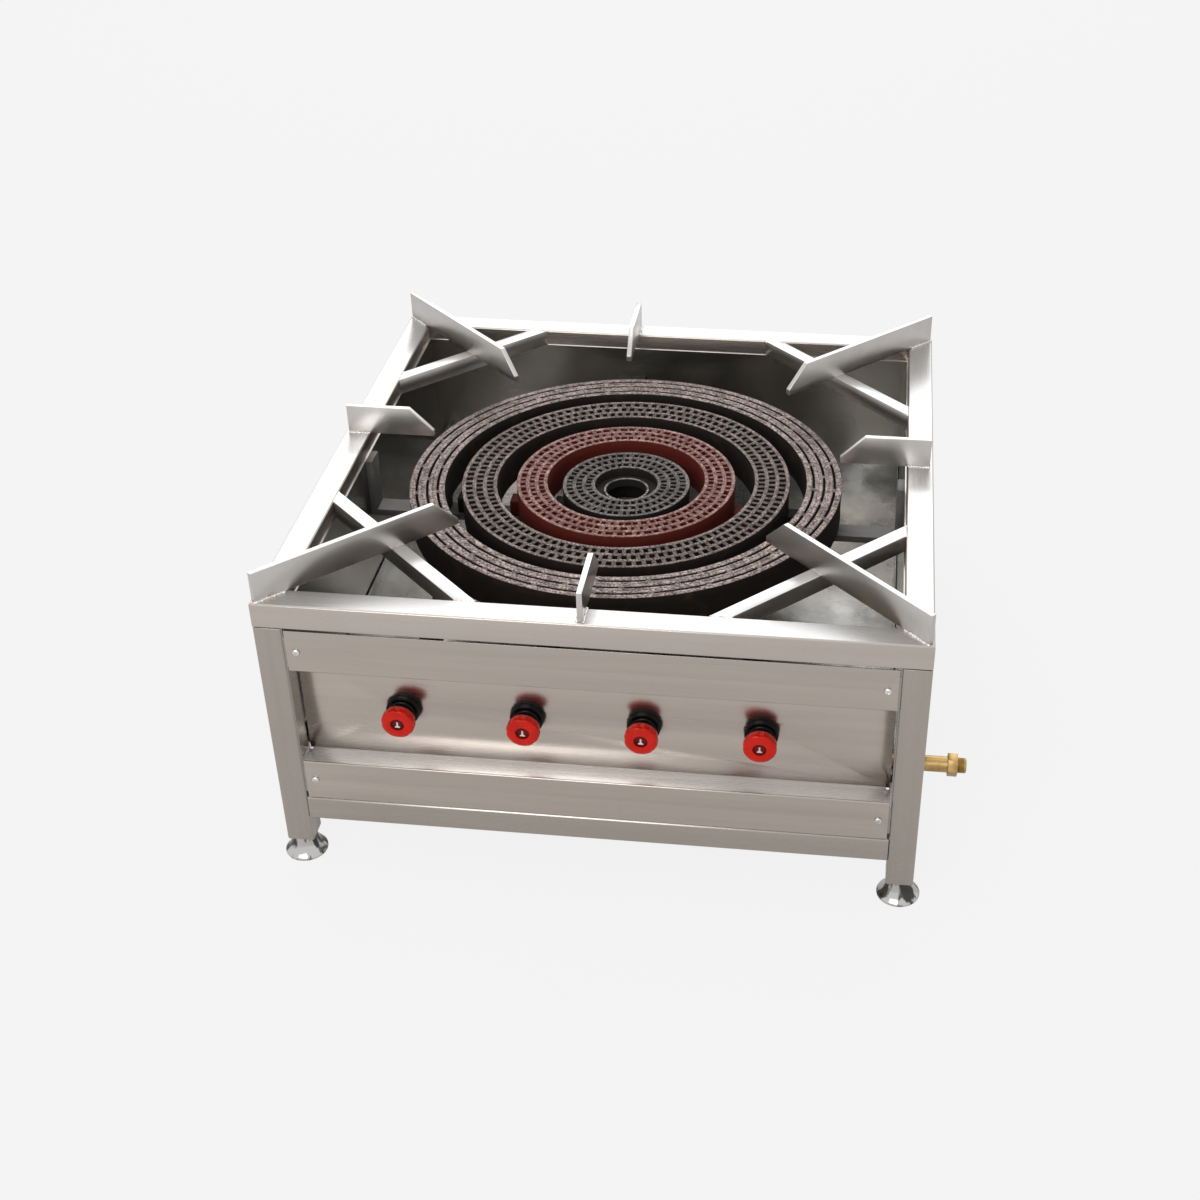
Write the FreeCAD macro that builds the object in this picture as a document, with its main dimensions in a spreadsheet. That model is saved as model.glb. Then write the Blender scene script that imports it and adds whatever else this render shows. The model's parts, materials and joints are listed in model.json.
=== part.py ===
import FreeCAD, Part
import math
import os
import re

import Sketcher

# A low gas range for one large pot: a square tube frame with eight welded pan supports, four
# concentric ring burners on one cross bar, a recessed control panel with four needle valves,
# a gas manifold with its inlet on the right, a spill tray and four levelling feet.
#
# Frame of the part: +X to the right, +Y to the back, +Z up, millimetres, the floor at Z = 0 and
# the origin at the bottom centre of the whole object's box, knobs and gas inlet included.

DIMENSIONS = (
    # name, value, what it is
    ("frame_width", 700, "top frame, left to right, outside the tubes"),
    ("frame_depth", 700, "top frame, front to back, outside the tubes"),
    ("frame_height", 345, "floor to the top of the top frame"),
    ("tube_size", 30, "square tube of the frame"),
    ("tube_wall", 1.5, "wall of that tube"),
    ("tube_corner", 1.5, "bevel on the outer corners of that tube"),
    ("bottom_rail_height", 58, "floor to the underside of the bottom rails"),
    ("foot_height", 25, "floor to the underside of a leg, foot screwed home"),
    ("foot_radius", 23.7, "rim of a foot"),
    ("foot_rim", 2.5, "height of that rim"),
    ("foot_neck", 14, "radius of a foot where it meets the leg"),
    ("stem_radius", 5, "levelling stem of a foot"),
    ("stem_length", 34, "stem above the underside of the leg"),
    ("leg_plate", 4, "threaded plate that closes a leg"),
    ("shaft_clearance", 0.1, "radial play of a stem or spindle in its hole"),
    ("seat_gap", 0.3, "play between a foot and its leg"),
    ("brace_width", 16, "corner brace, seen from above"),
    ("brace_height", 20, "corner brace, top to bottom"),
    ("brace_reach_front_left", 190, "inner frame corner to where the brace meets each rail"),
    ("brace_reach_front_right", 186, "the same, front right"),
    ("brace_reach_rear_right", 176, "the same, rear right"),
    ("brace_reach_rear_left", 150, "the same, rear left"),
    ("support_height", 35, "pan support bar, top to bottom"),
    ("support_thickness", 6, "pan support bar"),
    ("support_tip_radius", 242, "middle of the frame to the tip of a pan support"),
    ("support_nose", 7, "upright edge at that tip"),
    ("support_slope", 28, "length of the sloped corner, along the bar"),
    ("support_inset", 4, "frame's outer face to the outer end of a bar"),
    ("support_shift_left", 22, "left bar, back from the middle of its rail"),
    ("support_shift_right", 10, "right bar, back from the middle of its rail"),
    ("support_shift_front", -6, "front bar, right of the middle of its rail"),
    ("support_shift_rear", -38, "rear bar, right of the middle of its rail"),
    ("sheet", 1.2, "sheet of the panels"),
    ("bend_radius", 0.6, "inner radius of a bend in that sheet"),
    ("strip_height", 50, "each screwed strip of the front"),
    ("strip_top_gap", 3.5, "top frame to the upper strip"),
    ("strip_bottom_gap", 1.5, "bottom rail to the lower strip"),
    ("strip_side_gap", 2.5, "leg to the end of a strip"),
    ("recess_depth", 27, "front of the strips to the face of the recessed panel"),
    ("flange_notch", 4, "notch in each rear corner of a strip's flange"),
    ("tab_width", 22, "screw tab of a side panel"),
    ("tab_height", 36, "that tab, top to bottom"),
    ("screw_inset", 13, "inner face of a leg to the middle of a strip's screw"),
    ("screw_radius", 2, "shank of a panel screw"),
    ("screw_head_radius", 4, "head of a panel screw"),
    ("screw_head_top_radius", 2.6, "front of that head"),
    ("screw_head_height", 2.4, "height of that head"),
    ("screw_length", 9, "shank under that head"),
    ("screw_clearance", 0.2, "radial play of a screw or bolt in its hole"),
    ("tray_height", 142, "floor to the underside of the spill tray"),
    ("tray_lip", 29, "spill tray, outside height"),
    ("tray_sheet", 1, "sheet of the spill tray"),
    ("tray_gap", 1.5, "play round the spill tray"),
    ("tray_ledge", 20, "flange of a side panel that carries the tray"),
    ("valve_x_1", -207, "first valve, right of the middle of the frame"),
    ("valve_x_2", -72, "second valve"),
    ("valve_x_3", 54, "third valve"),
    ("valve_x_4", 179, "fourth valve"),
    ("knob_radius", 18, "hand wheel of a valve"),
    ("knob_thickness", 12, "that hand wheel, front to back"),
    ("knob_reach", 2, "front of the frame to the front of the hand wheel"),
    ("knob_lobes", 8, "finger hollows round the hand wheel, a count"),
    ("lobe_radius", 7, "radius of a finger hollow"),
    ("lobe_depth", 1.4, "depth of a finger hollow"),
    ("dish_radius", 7.5, "round recess in the front of the hand wheel"),
    ("dish_depth", 3, "depth of that recess"),
    ("hub_radius", 8, "hub behind the hand wheel"),
    ("spindle_radius", 4, "needle spindle"),
    ("spindle_engagement", 42, "spindle inside the valve body"),
    ("collar_radius", 18, "flange of a panel collar"),
    ("collar_flange", 6, "that flange, front to back"),
    ("collar_nose_radius", 12, "nose of a panel collar"),
    ("collar_length", 12, "whole collar, front to back"),
    ("collar_bevel", 1.5, "bevel between flange and nose"),
    ("neck_radius", 9, "threaded neck of a valve body"),
    ("neck_clearance", 0.3, "radial play of the neck in the panel and the collar"),
    ("neck_recess", 2, "front of the collar back to the front of the neck"),
    ("valve_flats", 22, "hexagon of a valve body, across the flats"),
    ("valve_body_length", 34, "that hexagon, front to back"),
    ("jet_radius", 6, "jet holder behind the hexagon"),
    ("jet_length", 16, "length of that jet holder"),
    ("riser_radius", 6, "gas leg of a valve body"),
    ("manifold_setback", 50, "front of the frame to the axis of the manifold"),
    ("manifold_height", 157, "floor to the axis of the manifold"),
    ("manifold_radius", 10.65, "pipe of the manifold"),
    ("manifold_overrun", 26, "manifold past the first valve"),
    ("manifold_end_gap", 7, "right side panel to the end of the manifold"),
    ("boss_radius", 9.5, "boss under a valve"),
    ("boss_height", 16, "axis of the manifold to the top of a boss"),
    ("cap_flats", 24, "hexagon plug at the left end of the manifold"),
    ("cap_length", 9, "length of that plug"),
    ("inlet_radius", 8.6, "pipe of the gas inlet"),
    ("inlet_reach", 47, "frame's right face to the end of the inlet thread"),
    ("inlet_engagement", 16, "inlet pipe inside the manifold"),
    ("inlet_bore", 6, "radius of the bore of the inlet"),
    ("inlet_flats", 22, "hexagon of the inlet, across the flats"),
    ("inlet_hex_length", 10.6, "length of that hexagon"),
    ("inlet_thread_radius", 8.33, "thread of the inlet, 3/8 inch pipe thread"),
    ("inlet_thread_length", 9.4, "length of that thread"),
    ("inlet_clearance", 0.9, "radial play of the inlet pipe in the side panel"),
    ("socket_clearance", 0.05, "radial play of the inlet pipe in the manifold"),
    ("burner_shift_x", -8, "middle of the burner, right of the middle of the frame"),
    ("burner_shift_y", -2, "middle of the burner, back from the middle of the frame"),
    ("ring_depth", 42, "burner ring, top to bottom, without its pads"),
    ("ring_1_inner", 37, "innermost ring, inner radius"),
    ("ring_1_outer", 75, "innermost ring, outer radius"),
    ("ring_1_drop", 38, "top of the frame down to the top of that ring"),
    ("ring_2_inner", 93, "second ring, inner radius"),
    ("ring_2_outer", 129, "second ring, outer radius"),
    ("ring_2_drop", 32, "top of the frame down to the top of that ring"),
    ("ring_3_inner", 152, "third ring, inner radius"),
    ("ring_3_outer", 193, "third ring, outer radius"),
    ("ring_3_drop", 31, "top of the frame down to the top of that ring"),
    ("ring_4_inner", 213, "outermost ring, inner radius"),
    ("ring_4_outer", 254, "outermost ring, outer radius"),
    ("ring_4_drop", 30, "top of the frame down to the top of that ring"),
    ("port_depth", 4.5, "tapered mouth of a flame port"),
    ("port_length", 7.4, "that mouth, along the radius"),
    ("port_share", 0.56, "share of the pitch that a mouth takes, a ratio"),
    ("port_rows", 3, "rows of ports in a ring, a count"),
    ("port_margin", 2.2, "plain land at the inner and outer edge of a ring"),
    ("ports_1_first", 34, "ports in the inner row of the innermost ring, a count"),
    ("ports_1_step", 6, "more ports in each next row of that ring, a count"),
    ("ports_2_first", 70, "ports in the inner row of the second ring, a count"),
    ("ports_2_step", 0, "more ports in each next row of that ring, a count"),
    ("ports_3_first", 105, "ports in the inner row of the third ring, a count"),
    ("ports_3_step", 0, "more ports in each next row of that ring, a count"),
    ("ports_4_first", 24, "flame slots in the inner row of the outermost ring, a count"),
    ("ports_4_step", 0, "more slots in each next row of that ring, a count"),
    ("slot_length", 2.6, "width of a flame slot, along the radius"),
    ("slot_share", 0.86, "share of the pitch that a slot takes, a ratio"),
    ("pad_width", 24, "bearing pad of a ring on the cross bar"),
    ("pad_inset", 2, "walls of a ring to the ends of its pad"),
    ("ear_reach", 11, "cast ear outside a ring"),
    ("ear_width", 20, "that ear, along the ring"),
    ("ear_height", 20, "that ear, top to bottom"),
    ("lug_shift", -31, "forked lug, right of the middle of the burner"),
    ("lug_width", 36, "forked lug, across"),
    ("lug_length", 32, "forked lug, out from the outermost ring"),
    ("lug_root", 5, "stock of the lug that is cut away to follow the ring"),
    ("lug_thickness", 8, "forked lug, top to bottom"),
    ("lug_drop", 8, "top of the outermost ring down to the top of the lug"),
    ("lug_notch", 9.5, "radius of the notch between the two arms of the lug"),
    ("bar_drop", 86, "top of the frame down to the top of the cross bar"),
    ("bar_width", 26, "cross bar under the burner, front to back"),
    ("bar_thickness", 8, "cross bar, top to bottom"),
    ("bolt_radius", 4, "shank of a burner bolt"),
    ("bolt_flats", 13, "head of a burner bolt, across the flats"),
    ("bolt_head", 5.3, "height of that head"),
    ("bolt_grip", 6, "bolt above the cross bar"),
    ("mixer_radius", 13, "mixing tube"),
    ("mixer_wall", 2.5, "wall of a mixing tube at its mouth"),
    ("bell_radius", 20, "mouth of a mixing tube"),
    ("bell_length", 24, "flare of that mouth"),
    ("bell_depth", 20, "hollow in that mouth"),
    ("jet_gap", 6, "jet to the mouth of a mixing tube"),
    ("mixer_straight", 18, "straight tube behind the flare"),
    ("mixer_bend", 40, "sideways bend of a mixing tube, at its axis"),
    ("mixer_elbow", 26, "elbow of a mixing tube up to its ring, at its axis"),
    ("inlet_bearing_1", 40, "where gas enters the innermost ring, degrees right of the front"),
    ("inlet_bearing_3", 50, "the same for the third ring"),
)

# Levels, faces and centres that more than one piece uses, worked out from the sizes above.
LAYOUT = (
    ("foot_overhang", "foot_radius - tube_size / 2"),
    ("centre_x", "(foot_overhang - inlet_reach) / 2"),
    ("centre_y", "(max(knob_reach; foot_overhang) - foot_overhang) / 2"),
    ("rail_base", "frame_height - tube_size"),
    ("inner_x", "frame_width / 2 - tube_size"),
    ("inner_y", "frame_depth / 2 - tube_size"),
    ("front_y", "-frame_depth / 2"),
    ("panel_y", "front_y + recess_depth"),
    ("panel_back_y", "panel_y + sheet"),
    ("strip_end_x", "inner_x - strip_side_gap"),
    ("lower_strip_base", "bottom_rail_height + tube_size + strip_bottom_gap"),
    ("recess_base", "lower_strip_base + strip_height"),
    ("upper_strip_top", "rail_base - strip_top_gap"),
    ("recess_top", "upper_strip_top - strip_height"),
    ("valve_height", "(recess_base + recess_top) / 2"),
    ("lower_flange_base", "recess_base - sheet"),
    ("upper_flange_top", "recess_top + sheet"),
    ("lower_screw_z", "lower_strip_base + strip_height / 2"),
    ("upper_screw_z", "upper_strip_top - strip_height / 2"),
    ("screw_x", "inner_x - screw_inset"),
    ("wall_inner_x", "inner_x - sheet"),
    ("wall_inner_y", "inner_y - sheet"),
    ("wall_top", "frame_height - brace_height"),
    ("flare_height", "foot_height - seat_gap - foot_rim"),
    ("flare_centre",
     "(foot_radius ^ 2 - foot_neck ^ 2 + flare_height ^ 2) / (2 * (foot_radius - foot_neck))"),
    ("collar_front_y", "panel_y - collar_length"),
    ("neck_front_y", "collar_front_y + neck_recess"),
    ("knob_front_y", "front_y - knob_reach"),
    ("valve_back_y", "panel_back_y + valve_body_length"),
    ("jet_tip_y", "valve_back_y + jet_length"),
    ("manifold_y", "front_y + manifold_setback"),
    ("manifold_left_x", "valve_x_1 - manifold_overrun"),
    ("manifold_right_x", "wall_inner_x - manifold_end_gap"),
    ("boss_top", "manifold_height + boss_height"),
    ("bar_top", "frame_height - bar_drop"),
    ("ring_1_base", "frame_height - ring_1_drop - ring_depth"),
    ("ring_2_base", "frame_height - ring_2_drop - ring_depth"),
    ("ring_3_base", "frame_height - ring_3_drop - ring_depth"),
    ("ring_4_base", "frame_height - ring_4_drop - ring_depth"),
    ("support_corner_radius",
     "sqrt((frame_width / 2 - support_inset) ^ 2 + (frame_depth / 2 - support_inset) ^ 2)"),
)

RING_NUMBERS = (1, 2, 3, 4)
VALVE_NUMBERS = (1, 2, 3, 4)
RING_OF_VALVE = {1: 4, 2: 2, 3: 1, 4: 3}
STRAIGHT_FED_RINGS = (2, 4)
CORNERS = (
    ("front_left", -1, -1),
    ("front_right", 1, -1),
    ("rear_right", 1, 1),
    ("rear_left", -1, 1),
)

ORIGIN = FreeCAD.Vector(0, 0, 0)
X_AXIS = FreeCAD.Vector(1, 0, 0)
Y_AXIS = FreeCAD.Vector(0, 1, 0)
Z_AXIS = FreeCAD.Vector(0, 0, 1)
Z_TO_X = FreeCAD.Rotation(Y_AXIS, 90)
Z_TO_Y = FreeCAD.Rotation(X_AXIS, -90)

doc = FreeCAD.newDocument("stock_pot_range")
sheet = doc.addObject("Spreadsheet::Sheet", "dims")
layout = doc.addObject("App::FeaturePython", "layout")
sub_parts = []


# ---------------------------------------------------------------- sizes and formulas

SHEET_NAMES = {name for name, value, note in DIMENSIONS}
LAYOUT_FORMULAS = dict(LAYOUT)
WORD = re.compile(r"[a-z][a-z0-9_]*")


def expanded(formula):
    """A formula with each layout name replaced by its own formula, down to the sheet's cells."""
    def replacement(match):
        word = match.group(0)
        if word in SHEET_NAMES:
            return "dims." + word
        if word in LAYOUT_FORMULAS:
            return "(" + expanded(LAYOUT_FORMULAS[word]) + ")"
        return word
    return WORD.sub(replacement, formula)


def bound(formula):
    """A formula with each name pointing at its cell or its layout value."""
    def replacement(match):
        word = match.group(0)
        if word in SHEET_NAMES:
            return "dims." + word
        if word in LAYOUT_FORMULAS:
            return "layout." + word
        return word
    return WORD.sub(replacement, formula)


def fill_sheet():
    """Write the driving dimensions, one row each, and name every value cell."""
    for row, (name, value, note) in enumerate(DIMENSIONS, start=1):
        sheet.set("A%d" % row, name)
        sheet.set("B%d" % row, str(value))
        sheet.set("C%d" % row, note)
        sheet.setAlias("B%d" % row, name)
    doc.recompute()
    for name, formula in LAYOUT:
        layout.addProperty("App::PropertyFloat", name)
        layout.setExpression(name, expanded(formula))
    doc.recompute()


def size(name):
    """The number behind a sheet or layout name."""
    if name in SHEET_NAMES:
        return float(sheet.get(name))
    return float(getattr(layout, name))


def count(name):
    """A whole number from the sheet."""
    return int(round(size(name)))


def bind(target, **formulas):
    """Drive properties of an object by formulas; Placement__Base__x stands for Placement.Base.x."""
    for key, formula in formulas.items():
        target.setExpression(key.replace("__", "."), bound(formula))


def shift(feature, x="0", y="0", z="0"):
    """Drive where a feature lies inside its own body."""
    bind(feature, Placement__Base__x=x, Placement__Base__y=y, Placement__Base__z=z)


def keep(piece, label, x="0", y="0", z="0", turn=None):
    """Name a sub-part, drive its place from the middle of the frame, and keep it for export."""
    piece.Label = label
    bind(
        piece,
        Placement__Base__x="centre_x + (%s)" % x,
        Placement__Base__y="centre_y + (%s)" % y,
        Placement__Base__z=z,
    )
    if turn is not None:
        bind(piece, Placement__Rotation__Angle=turn)
    sub_parts.append(piece)
    return piece


def set_back(formula, side, length):
    """Start of a span of a given length that ends at side * formula, on the inner side of it."""
    if side > 0:
        return "(%s) - (%s)" % (formula, length)
    return "-(%s)" % formula


# ---------------------------------------------------------------- body features

def new_body(name):
    """An empty body."""
    return doc.addObject("PartDesign::Body", name)


def origin_feature(body, role):
    """One of the origin planes or axes of a body."""
    return [item for item in body.Origin.OriginFeatures if item.Role == role][0]


def polygon_sketch(body, name, role, corners):
    """A closed outline whose corners are driven by pairs of formulas."""
    sketch = body.newObject("Sketcher::SketchObject", name)
    sketch.AttachmentSupport = [(origin_feature(body, role), "")]
    sketch.MapMode = "FlatFace"
    total = len(corners)
    start = [
        FreeCAD.Vector(100 * math.cos(2 * math.pi * i / total), 100 * math.sin(2 * math.pi * i / total), 0)
        for i in range(total)
    ]
    for i in range(total):
        sketch.addGeometry(Part.LineSegment(start[i], start[(i + 1) % total]), False)
    for i in range(total):
        sketch.addConstraint(Sketcher.Constraint("Coincident", i, 2, (i + 1) % total, 1))
    for i, pair in enumerate(corners):
        for kind, formula in zip(("DistanceX", "DistanceY"), pair):
            index = sketch.addConstraint(Sketcher.Constraint(kind, -1, 1, i, 1, 1.0))
            sketch.setExpression("Constraints[%d]" % index, bound(formula))
    return sketch


def pad(body, sketch, length, symmetric=False):
    """Extrude an outline by a driven length."""
    feature = body.newObject("PartDesign::Pad", "pad")
    feature.Profile = sketch
    if symmetric:
        feature.SideType = "Symmetric"
    bind(feature, Length=length)
    return feature


def revolve(body, sketch):
    """Turn an outline once about its sketch's upright axis."""
    feature = body.newObject("PartDesign::Revolution", "turned")
    feature.Profile = sketch
    feature.ReferenceAxis = (sketch, ["V_Axis"])
    feature.Angle = 360
    return feature


def block(body, name, length, width, height, x="0", y="0", z="0", cut=False):
    """A driven box, added to the body or cut from it."""
    kind = "PartDesign::SubtractiveBox" if cut else "PartDesign::AdditiveBox"
    feature = body.newObject(kind, name)
    bind(feature, Length=length, Width=width, Height=height)
    shift(feature, x, y, z)
    return feature


def round_bar(body, name, radius, height, x="0", y="0", z="0", cut=False, rotation=None):
    """A driven cylinder, added to the body or cut from it."""
    kind = "PartDesign::SubtractiveCylinder" if cut else "PartDesign::AdditiveCylinder"
    feature = body.newObject(kind, name)
    if rotation is not None:
        feature.Placement = FreeCAD.Placement(ORIGIN, rotation)
    bind(feature, Radius=radius, Height=height)
    shift(feature, x, y, z)
    return feature


def edges_that_pass(feature, test):
    """A feature and the names of its edges that pass a test."""
    doc.recompute()
    names = [
        "Edge%d" % (i + 1)
        for i, edge in enumerate(feature.Shape.Edges)
        if test(edge)
    ]
    return (feature, names)


def round_edges(body, feature, radius, test):
    """Fillet the edges of a feature that pass a test."""
    fillet = body.newObject("PartDesign::Fillet", "rounding")
    fillet.Base = edges_that_pass(feature, test)
    bind(fillet, Radius=radius)
    return fillet


def bevel_edges(body, feature, width, test):
    """Chamfer the edges of a feature that pass a test."""
    bevel = body.newObject("PartDesign::Chamfer", "bevel")
    bevel.Base = edges_that_pass(feature, test)
    bind(bevel, Size=width)
    return bevel


def runs_along(axis):
    """A test for straight edges parallel to an axis."""
    def test(edge):
        if not isinstance(edge.Curve, (Part.Line, Part.LineSegment)):
            return False
        return abs(edge.tangentAt(edge.FirstParameter).dot(axis)) > 0.999
    return test


def passes_through(y, z):
    """A test for edges along X that pass through a point of the section."""
    def test(edge):
        point = edge.Vertexes[0].Point
        return runs_along(X_AXIS)(edge) and abs(point.y - y) + abs(point.z - z) < 0.001
    return test


# ---------------------------------------------------------------- plain solids

def solid_cylinder(name, radius, height, x="0", y="0", z="0", rotation=None):
    """A driven cylinder for a boolean."""
    cylinder = doc.addObject("Part::Cylinder", name)
    if rotation is not None:
        cylinder.Placement = FreeCAD.Placement(ORIGIN, rotation)
    bind(cylinder, Radius=radius, Height=height)
    shift(cylinder, x, y, z)
    return cylinder


def solid_hexagon(name, flats, height, x="0", y="0", z="0", rotation=None):
    """A driven hexagonal bar for a boolean, sized across its flats."""
    prism = doc.addObject("Part::Prism", name)
    prism.Polygon = 6
    if rotation is not None:
        prism.Placement = FreeCAD.Placement(ORIGIN, rotation)
    bind(prism, Circumradius="%s / sqrt(3)" % flats, Height=height)
    shift(prism, x, y, z)
    return prism


def fuse(name, pieces):
    """One solid from overlapping ones."""
    union = doc.addObject("Part::MultiFuse", name)
    union.Shapes = pieces
    union.Refine = True
    return union


def cut(name, base, tool):
    """A solid with another taken out."""
    result = doc.addObject("Part::Cut", name)
    result.Base = base
    result.Tool = tool
    return result


def shaped(label, shape, x="0", y="0", z="0"):
    """A sub-part whose shape is computed."""
    feature = doc.addObject("Part::Feature", label)
    feature.Shape = shape
    return keep(feature, label, x, y, z)


# ---------------------------------------------------------------- frame

def rail(label, length, outer, mitre, base, turn):
    """A tube along X with its outer face at Y = -outer, its ends cut back by mitre on the inside."""
    body = new_body(label)
    plan = polygon_sketch(body, "plan", "XY_Plane", (
        ("-(%s) / 2" % length, "-(%s)" % outer),
        ("(%s) / 2" % length, "-(%s)" % outer),
        ("(%s) / 2 - %s" % (length, mitre), "-(%s) + tube_size" % outer),
        ("-(%s) / 2 + %s" % (length, mitre), "-(%s) + tube_size" % outer),
    ))
    bar = pad(body, plan, "tube_size")
    bevel_edges(body, bar, "tube_corner", runs_along(X_AXIS))
    inside = "tube_size - 2 * tube_wall"
    block(
        body, "bore", "%s + 2 * tube_wall" % length, inside, inside,
        x="-(%s) / 2 - tube_wall" % length, y="-(%s) + tube_wall" % outer, z="tube_wall", cut=True,
    )
    keep(body, label, z=base, turn=turn)


def leg(label, side_x, side_y):
    """An upright tube closed at the bottom by the plate that takes the levelling stem."""
    body = new_body(label)
    tube = block(body, "tube", "tube_size", "tube_size", "rail_base - foot_height")
    bevel_edges(body, tube, "tube_corner", runs_along(Z_AXIS))
    inside = "tube_size - 2 * tube_wall"
    block(
        body, "bore", inside, inside, "rail_base", x="tube_wall", y="tube_wall", z="leg_plate", cut=True,
    )
    round_bar(
        body, "stem_hole", "stem_radius + shaft_clearance", "3 * leg_plate",
        x="tube_size / 2", y="tube_size / 2", z="-leg_plate", cut=True,
    )
    keep(
        body, label,
        x=set_back("frame_width / 2", side_x, "tube_size"),
        y=set_back("frame_depth / 2", side_y, "tube_size"),
        z="foot_height",
    )


def foot(label, side_x, side_y):
    """A round foot that flares from the leg to its rim, with the stem that screws into the leg."""
    body = new_body(label)
    round_bar(body, "blank", "foot_radius", "foot_height - seat_gap")
    flare = body.newObject("PartDesign::SubtractiveTorus", "flare")
    bind(flare, Radius1="flare_centre", Radius2="flare_centre - foot_neck")
    shift(flare, z="foot_height - seat_gap")
    round_bar(body, "stem", "stem_radius", "stem_length + foot_rim", z="foot_height - foot_rim")
    keep(
        body, label,
        x="%d * (frame_width / 2 - tube_size / 2)" % side_x,
        y="%d * (frame_depth / 2 - tube_size / 2)" % side_y,
    )


def corner_brace(label, reach, side_x, side_y):
    """A bar at 45 degrees between two rails, flush with the top of the frame."""
    half = "brace_width / sqrt(2)"
    near = "(%s - %s)" % (reach, half)
    far = "(%s + %s)" % (reach, half)
    body = new_body(label)
    plan = polygon_sketch(body, "plan", "XY_Plane", (
        ("%d * inner_x" % side_x, "%d * (inner_y - %s)" % (side_y, near)),
        ("%d * inner_x" % side_x, "%d * (inner_y - %s)" % (side_y, far)),
        ("%d * (inner_x - %s)" % (side_x, far), "%d * inner_y" % side_y),
        ("%d * (inner_x - %s)" % (side_x, near), "%d * inner_y" % side_y),
    ))
    pad(body, plan, "brace_height")
    keep(body, label, z="wall_top")


def pan_support(label, outer, turn, x="0", y="0"):
    """A bar on edge on the frame that points at the middle, with its inner top corner sloped off."""
    body = new_body(label)
    side = polygon_sketch(body, "side", "XZ_Plane", (
        ("support_tip_radius", "0"),
        (outer, "0"),
        (outer, "support_height"),
        ("support_tip_radius + support_slope", "support_height"),
        ("support_tip_radius", "support_nose"),
    ))
    pad(body, side, "support_thickness", symmetric=True)
    keep(body, label, x, y, "frame_height", turn)


def build_frame():
    """Top frame, legs, bottom rails, braces, feet and pan supports."""
    width = "frame_width"
    depth = "frame_depth"
    sides = (
        ("front", width, depth, "0"),
        ("right", depth, width, "90"),
        ("rear", width, depth, "180"),
        ("left", depth, width, "270"),
    )
    for name, along, across, turn in sides:
        outer = "%s / 2" % across
        rail("top_rail_" + name, along, outer, "tube_size", "rail_base", turn)
        rail("bottom_rail_" + name, "(%s - 2 * tube_size)" % along, outer, "0", "bottom_rail_height", turn)
    for name, side_x, side_y in CORNERS:
        leg("leg_" + name, side_x, side_y)
        foot("foot_" + name, side_x, side_y)
        corner_brace("corner_brace_" + name, "brace_reach_" + name, side_x, side_y)
        pan_support(
            "pan_support_" + name, "support_corner_radius",
            "atan2(%d * frame_depth; %d * frame_width)" % (side_y, side_x),
        )
    half_width = "frame_width / 2 - support_inset"
    half_depth = "frame_depth / 2 - support_inset"
    pan_support("pan_support_right", half_width, "0", y="support_shift_right")
    pan_support("pan_support_rear", half_depth, "90", x="support_shift_rear")
    pan_support("pan_support_left", half_width, "180", y="support_shift_left")
    pan_support("pan_support_front", half_depth, "270", x="support_shift_front")


# ---------------------------------------------------------------- panels and tray

def front_strip(label, edge, recess, flange_back, screw_level):
    """A screwed strip of the front, bent in along the recess to carry the valve panel."""
    body = new_body(label)
    section = polygon_sketch(body, "section", "YZ_Plane", (
        ("front_y", edge),
        ("front_y", recess),
        ("panel_y", recess),
        ("panel_y", flange_back),
        ("front_y + sheet", flange_back),
        ("front_y + sheet", edge),
    ))
    angle = pad(body, section, "2 * strip_end_x", symmetric=True)
    doc.recompute()
    front = size("front_y")
    outer = round_edges(body, angle, "bend_radius + sheet", passes_through(front, size(recess)))
    round_edges(body, outer, "bend_radius", passes_through(front + size("sheet"), size(flange_back)))
    for side in (-1, 1):
        round_bar(
            body, "screw_hole", "screw_radius + screw_clearance", "3 * sheet",
            x="%d * screw_x" % side, y="front_y - sheet", z=screw_level, cut=True, rotation=Z_TO_Y,
        )
        block(
            body, "notch", "flange_notch", "2 * flange_notch", "6 * sheet",
            x=set_back("strip_end_x", side, "flange_notch"),
            y="panel_y - flange_notch", z=recess + " - 3 * sheet", cut=True,
        )
    keep(body, label)


def valve_panel():
    """The flat sheet at the back of the recess, with a hole for the neck of each valve."""
    body = new_body("valve_panel")
    block(
        body, "plate", "2 * strip_end_x", "sheet", "upper_flange_top - lower_flange_base",
        x="-strip_end_x", y="panel_y", z="lower_flange_base",
    )
    for number in VALVE_NUMBERS:
        round_bar(
            body, "valve_hole", "neck_radius + neck_clearance", "3 * sheet",
            x="valve_x_%d" % number, y="panel_y - sheet", z="valve_height", cut=True, rotation=Z_TO_Y,
        )
    keep(body, "valve_panel")


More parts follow.
